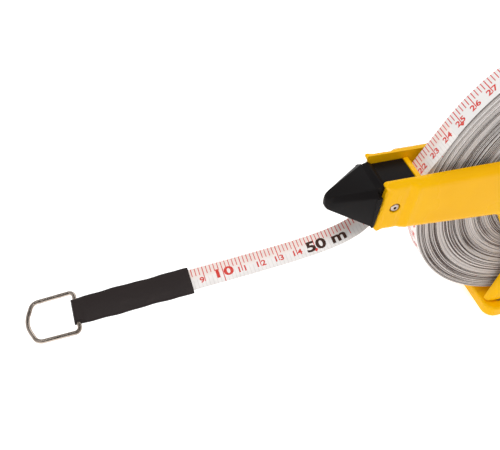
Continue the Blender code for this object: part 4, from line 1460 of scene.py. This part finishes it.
def grow(name: str, mesh: bpy.types.Mesh, tree: bpy.types.GeometryNodeTree, inputs: dict[str, object],
         finish: Finish, body: str, *stands_for: str) -> bpy.types.Object:
    """Run a geometry node tree on a mesh and keep its result as a plain piece.

    Args:
        name: the piece's name.
        mesh: what the tree starts from.
        tree: the node tree.
        inputs: its named inputs.
        finish: the piece's finish.
        body: the body it rides on.
        stands_for: the CAD nodes that it replaces.

    Returns:
        The piece.
    """
    seed = bpy.data.objects.new(name + "_seed", mesh)
    bpy.context.scene.collection.objects.link(seed)
    modifier = seed.modifiers.new("grow", "NODES")
    modifier.node_group = tree
    for item in tree.interface.items_tree:
        if item.in_out == "INPUT" and item.name in inputs:
            modifier[item.identifier] = inputs[item.name]
    bpy.context.view_layer.update()
    plain = bpy.data.meshes.new_from_object(seed.evaluated_get(bpy.context.evaluated_depsgraph_get()))
    seed.modifiers.clear()
    bpy.data.objects.remove(seed)
    plain.name = name
    plain.shade_smooth()
    plain.set_sharp_from_angle(angle=math.radians(40))
    piece = bpy.data.objects.new(name, plain)
    bpy.context.scene.collection.objects.link(piece)
    return settle(piece, finish, body, *stands_for)


# ---- coil ----------------------------------------------------------------------------------
@dataclass
class Coil:
    """Fifty metres of tape wound on the drum, its turns a little out of line with each other."""

    turns: int = 136
    per_turn: int = 108
    stagger: float = 1.7 * MM
    looseness: float = 0.16 * MM
    bunch_rate: float = 0.42
    drift_rate: float = 0.06
    jitter_rate: float = 1.7
    loose_rate: float = 0.9
    seed: int = 11

    @classmethod
    def pitch(cls) -> float:
        """Distance between one turn and the next."""
        return (LAST_TURN - DRUM_RADIUS - TAPE_THICKNESS) / cls.turns

    def tree(self, material: bpy.types.Material) -> bpy.types.GeometryNodeTree:
        """Make the node tree of the wound tape.

        Args:
            material: what the tape is made of.

        Returns:
            The tree.
        """
        tree = bpy.data.node_groups.new("wound_turns", "GeometryNodeTree")
        face = tree.interface
        face.new_socket("Geometry", in_out="INPUT", socket_type="NodeSocketGeometry")
        for label in ("Turns", "Steps", "Inner Radius", "Outer Radius", "End Angle", "Stagger", "Width",
                      "Thickness", "Seed"):
            face.new_socket(label, in_out="INPUT", socket_type="NodeSocketFloat")
        face.new_socket("Geometry", in_out="OUTPUT", socket_type="NodeSocketGeometry")
        graph = Graph(tree)
        enter = graph.add("NodeGroupInput")
        given = {item.name: Channel(graph, item) for item in enter.outputs if item.name}
        count = given["Turns"] * given["Steps"] + 1.0
        line = graph.add("GeometryNodeMeshLine", None, {"Count": count, "Offset": (0.0, 0.0, 0.001)})
        turn = Channel(graph, graph.add("GeometryNodeInputIndex").outputs[0]) / given["Steps"]
        share = turn / given["Turns"]
        angle = (turn - given["Turns"]) * (2 * math.pi) + given["End Angle"]

        def wander(rate: float, offset: float, detail: float) -> Channel:
            """Make noise along the tape, about 0.

            Args:
                rate: how fast it changes, per turn.
                offset: where in the noise it starts.
                detail: octaves of finer noise.

            Returns:
                The noise.
            """
            place = graph.add("ShaderNodeCombineXYZ", None, {0: turn * rate + offset, 1: given["Seed"]})
            sockets = {"Vector": place.outputs[0], "Scale": 1.0, "Detail": detail}
            return Channel(graph, graph.add("ShaderNodeTexNoise", None, sockets).outputs[0]) - 0.5

        bunches = wander(self.bunch_rate, 0.0, 1.0) * 7.0
        whole = bunches.math("FLOOR")
        stepped = whole + (bunches - whole).ramp(0.35, 0.65)
        drift = wander(self.drift_rate, 40.0, 0.0)
        jitter = wander(self.jitter_rate, 80.0, 0.0)
        lay = (stepped * 0.33 + drift * 0.9 + jitter * 0.55).math("MINIMUM", 1.0).math("MAXIMUM", -1.0)
        free = (given["Turns"] - turn).ramp(1.0, 2.2)
        lay = lay * free
        loose = wander(self.loose_rate, 120.0, 1.0) * free * self.looseness
        radius = given["Inner Radius"] + (given["Outer Radius"] - given["Inner Radius"]) * share + loose
        place = graph.add("ShaderNodeCombineXYZ", None, {
            0: radius * angle.math("COSINE"), 1: lay * given["Stagger"],
            2: radius * angle.math("SINE") + HUB.z})
        laid = graph.add("GeometryNodeSetPosition", None,
                         {"Geometry": line.outputs[0], "Position": place.outputs[0]})
        kept = laid.outputs[0]
        for label, value in (("turn", turn), ("lay", lay)):
            kept = graph.add("GeometryNodeStoreNamedAttribute", {"data_type": "FLOAT", "domain": "POINT"},
                             {"Geometry": kept, "Name": label, "Value": value}).outputs[0]
        path = graph.add("GeometryNodeMeshToCurve", None, {"Mesh": kept})
        faced = graph.add("GeometryNodeSetCurveNormal", {"mode": "FREE"},
                          {"Curve": path.outputs[0], "Normal": (0.0, 1.0, 0.0)})
        profile = graph.add("GeometryNodeCurvePrimitiveQuadrilateral", None,
                            {"Width": given["Width"], "Height": given["Thickness"]})
        wound = graph.add("GeometryNodeCurveToMesh", None, {
            "Curve": faced.outputs[0], "Profile Curve": profile.outputs[0], "Fill Caps": True})
        real = graph.add("GeometryNodeRealizeInstances", None, {0: wound.outputs[0]})
        done = graph.add("GeometryNodeSetMaterial", None, {"Geometry": real.outputs[0], "Material": material})
        graph.add("NodeGroupOutput", None, {0: done.outputs[0]})
        return tree

    def build(self) -> None:
        """Build and dress the coil."""
        inputs = {
            "Turns": float(self.turns), "Steps": float(self.per_turn),
            "Inner Radius": DRUM_RADIUS + TAPE_THICKNESS, "Outer Radius": LAST_TURN,
            "End Angle": RUN_SLOPE + math.pi / 2, "Stagger": self.stagger,
            "Width": TAPE_WIDTH, "Thickness": TAPE_THICKNESS, "Seed": float(self.seed),
        }
        mesh = bpy.data.meshes.new("coil_seed")
        grow("coil", mesh, self.tree(COIL.material()), inputs, COIL, "reel", "tape_pack")


# ---- sleeve and ring -----------------------------------------------------------------------
@dataclass
class SleeveAndRing:
    """Vinyl sleeve pressed over the tape's end, and the ring that swings in its loop."""

    lead: Lead
    width: float = 15.4 * MM
    thickness: float = 2.3 * MM
    wire: float = 1.15 * MM
    seam: float = 0.42 * MM
    loop_wall: float = 0.75 * MM
    ring_width: float = 23.3 * MM
    ring_length: float = 27.0 * MM

    def sleeve(self) -> bmesh.types.BMesh:
        """Make the flat pocket with pressed seams, ending in a round loop about the wire.

        Returns:
            The solid in the row frame.
        """
        start = self.lead.run + self.lead.mouth + self.lead.free
        length = self.lead.sleeve_length - self.lead.step
        bead, edge = self.wire + GAP + self.loop_wall, self.seam
        sections = []
        count = 96
        for index in range(count + 1):
            place = length * (index / count)
            station = self.lead.station(start + place)
            to_axis = length - place
            half = self.width / 2 + 0.16 * MM * math.sin(place * 210.0)
            half += 0.10 * MM * math.sin(place * 493.0 + 1.0)
            thick = self.thickness / 2 * (1 + 0.05 * math.sin(place * 160.0))
            if to_axis < 2.2 * bead:
                swell = 1 - to_axis / (2.2 * bead)
                thick += (bead - thick) * swell * swell * (3 - 2 * swell)
                half -= 0.3 * MM * swell
            lip = 0.22 * MM if index == 0 else 0.0
            quarter = [(half, edge), (half - 0.25 * MM, edge + 0.25 * MM),
                       (half - 1.3 * MM, thick - 0.30 * MM), (half - 2.2 * MM, thick)]
            crown = thick + 0.05 * MM
            outline = [*((-a, -u) for a, u in quarter), (0.0, -crown),
                       *((a, -u) for a, u in reversed(quarter)), *quarter, (0.0, crown),
                       *((-a, u) for a, u in reversed(quarter))]
            sections.append([station.at(a * (1 - lip / half), u * (1 - lip / thick)) for a, u in outline])
        axis = self.lead.station(start + length)
        last, rounds = sections[-1], 8
        for index in range(1, rounds + 1):
            angle = math.pi / 2 * index / rounds
            out = axis.outward * (bead * math.sin(angle))
            flattened = 1 - max(math.cos(angle), 0.06)
            sections.append([point - axis.up * (point - axis.point).dot(axis.up) * flattened + out
                             for point in last])
        return skin(sections)

    def ring(self) -> bmesh.types.BMesh:
        """Make the wire bent into a D, its straight side in the sleeve's loop.

        Returns:
            The solid in the row frame.
        """
        axis = self.lead.station(self.lead.run + self.lead.mouth + self.lead.free
                                 + self.lead.sleeve_length - self.lead.step)
        half, far = self.ring_width / 2, self.ring_length - self.wire
        route = rounded([(0.0, -half, 2.6 * MM), (far * 0.82, -half * 0.97, 4.5 * MM), (far, 0.0, 14 * MM),
                         (far * 0.82, half * 0.97, 4.5 * MM), (0.0, half, 2.6 * MM)], math.radians(5))
        sections = []
        for index, point in enumerate(route):
            along = (route[(index + 1) % len(route)] - route[index - 1]).normalized()
            middle = axis.point + axis.outward * point.x + axis.across * point.y
            side = axis.outward * along.y - axis.across * along.x
            sections.append([middle + self.wire * (math.cos(a) * side + math.sin(a) * axis.up)
                             for a in (2 * math.pi * k / 24 for k in range(24))])
        return skin(sections, closed=True)

    def build(self) -> None:
        """Build and dress the sleeve and the ring."""
        add_piece("sleeve", self.sleeve(), VINYL, "frame", "end_sleeve", smooth=60.0)
        add_piece("pull_ring", self.ring(), NICKEL, "ring", "end_ring", smooth=60.0)


# ---- studio --------------------------------------------------------------------------------
@dataclass(frozen=True)
class Lamp:
    """A square soft light: where it hangs, its side and its power in watts."""

    name: str
    place: tuple[float, float, float]
    size: float
    power: float


@dataclass
class Studio:
    """Pale floor, soft lights and the camera."""

    azimuth: float = math.radians(-20.072)
    elevation: float = math.radians(45.014)
    roll: float = math.radians(3.533)
    distance: float = 356.79 * MM
    target: Vector = Vector((-180.85 * MM, 0.0, 102.9 * MM))
    lens: float = 52.45
    daylight: float = 0.48
    floor_glow: float = 0.60
    floor_side: float = 6.0
    floor_drop: float = 0.2 * MM
    lit: Vector = Vector((-0.1, 0.0, 0.1))
    lamps: tuple[Lamp, ...] = (
        Lamp("key", (-0.42, -0.2, 1.5), 0.7, 8.6),
        Lamp("back", (0.5, 1.0, 1.2), 0.8, 2.6),
        Lamp("edge", (0.28, -0.85, 0.95), 0.16, 0.7),
    )
    near_card_back: float = 0.15
    near_card_side: float = 0.46
    top_card_place: Vector = Vector((-0.15, 0.08, 0.95))
    top_card_side: float = 0.9

    def aim(self, holder: bpy.types.Object, place: Vector, target: Vector) -> None:
        """Put an object in its place and turn its -Z axis to a target.

        Args:
            holder: the object.
            place: where it goes.
            target: what it faces.
        """
        holder.location = place
        holder.rotation_mode = "QUATERNION"
        holder.rotation_quaternion = (target - place).to_track_quat("-Z", "Y")

    def hang(self, lamp: Lamp) -> None:
        """Hang a lamp, aimed at the nose end of the reel.

        Args:
            lamp: the lamp.
        """
        light = bpy.data.lights.new(lamp.name, "AREA")
        light.size, light.energy = lamp.size, lamp.power
        holder = bpy.data.objects.new(lamp.name, light)
        bpy.context.scene.collection.objects.link(holder)
        self.aim(holder, Vector(lamp.place), self.lit)

    def sheet(self, name: str, side: float, look: dict[str, object]) -> bpy.types.Object:
        """Make a plain square sheet that belongs to the studio.

        Args:
            name: its name.
            side: length of its side.
            look: values of the shader's inputs.

        Returns:
            The sheet.
        """
        square = bmesh.new()
        bmesh.ops.create_grid(square, x_segments=2, y_segments=2, size=side / 2)
        mesh = bpy.data.meshes.new(name)
        square.to_mesh(mesh)
        square.free()
        sheet = bpy.data.objects.new(name, mesh)
        bpy.context.scene.collection.objects.link(sheet)
        material = bpy.data.materials.new(name)
        material.use_nodes = True
        for label, value in look.items():
            material.node_tree.nodes["Principled BSDF"].inputs[label].default_value = value
        mesh.materials.append(material)
        return sheet

    def floor(self) -> None:
        """Lay the plain pale floor, which glows a little."""
        floor = self.sheet("studio_floor", self.floor_side, {
            "Base Color": (0.92, 0.92, 0.92, 1.0), "Roughness": 0.9, "Specular IOR Level": 0.1,
            "Emission Color": (1.0, 1.0, 1.0, 1.0), "Emission Strength": self.floor_glow})
        floor.location = (0.0, 0.0, -self.floor_drop)

    def dark_card(self, place: Vector, target: Vector, side: float) -> None:
        """Set a dark card that is seen only in reflections, like the unlit side of a room.

        Args:
            place: its middle.
            target: what it faces.
            side: length of its side.
        """
        card = self.sheet("studio_card", side, {
            "Base Color": (0.02, 0.02, 0.02, 1.0), "Specular IOR Level": 0.0})
        self.aim(card, place, target)
        for ray in ("camera", "diffuse", "transmission", "volume_scatter", "shadow"):
            setattr(card, f"visible_{ray}", False)

    def camera(self) -> None:
        """Aim the camera at the nose and the free tape, with the dark cards behind and above."""
        lens = bpy.data.cameras.new("camera")
        lens.lens, lens.sensor_width = self.lens, 36.0
        lens.clip_start, lens.clip_end = 0.01, 20.0
        camera = bpy.data.objects.new("camera", lens)
        bpy.context.scene.collection.objects.link(camera)
        a, e = self.azimuth, self.elevation
        back = Vector((math.sin(a) * math.cos(e), -math.cos(a) * math.cos(e), math.sin(e)))
        level = Vector((0, 0, 1)).cross(back).normalized()
        upright = back.cross(level)
        right = level * math.cos(self.roll) + upright * math.sin(self.roll)
        up = upright * math.cos(self.roll) - level * math.sin(self.roll)
        camera.rotation_mode = "QUATERNION"
        camera.rotation_quaternion = Matrix((right, up, back)).transposed().to_quaternion()
        camera.location = self.target + back * self.distance
        bpy.context.scene.camera = camera
        self.dark_card(camera.location + back * self.near_card_back, self.target, self.near_card_side)
        below = Vector((self.top_card_place.x, self.top_card_place.y, 0.0))
        self.dark_card(self.top_card_place, below, self.top_card_side)

    def build(self) -> None:
        """Set up the whole studio."""
        world = bpy.data.worlds.new("studio")
        world.use_nodes = True
        background = world.node_tree.nodes["Background"]
        background.inputs[0].default_value = (1.0, 1.0, 1.0, 1.0)
        background.inputs[1].default_value = self.daylight
        bpy.context.scene.world = world
        bpy.context.scene.view_settings.view_transform = "Standard"
        self.floor()
        self.camera()
        for lamp in self.lamps:
            self.hang(lamp)


def main() -> None:
    """Build the tape measure's looks, piece by piece."""
    logging.basicConfig(level=logging.INFO, format="%(message)s")
    Studio().build()
    SideFrames().build()
    Nose().build()
    lead = Lead()
    lead.build()
    Coil().build()
    SleeveAndRing(lead).build()
    dress_node(YELLOW, "foot_bar", "handle_core", "crank_arm")
    dress_node(BLACK, "reel_hub", "hub_bezel", "crank_knob")
    dress_node(GRIP, "handle_grip")
    dress_node(STEEL, "axle_bolt", "axle_nut", "axle_washer", "crank_pin", "knob_pin", "handle_screw_lower",
               "handle_screw_upper", "handle_nut_lower", "handle_nut_upper", "foot_screw_1", "foot_screw_2",
               "foot_screw_3", "foot_screw_4")


if __name__ == "__main__":
    main()
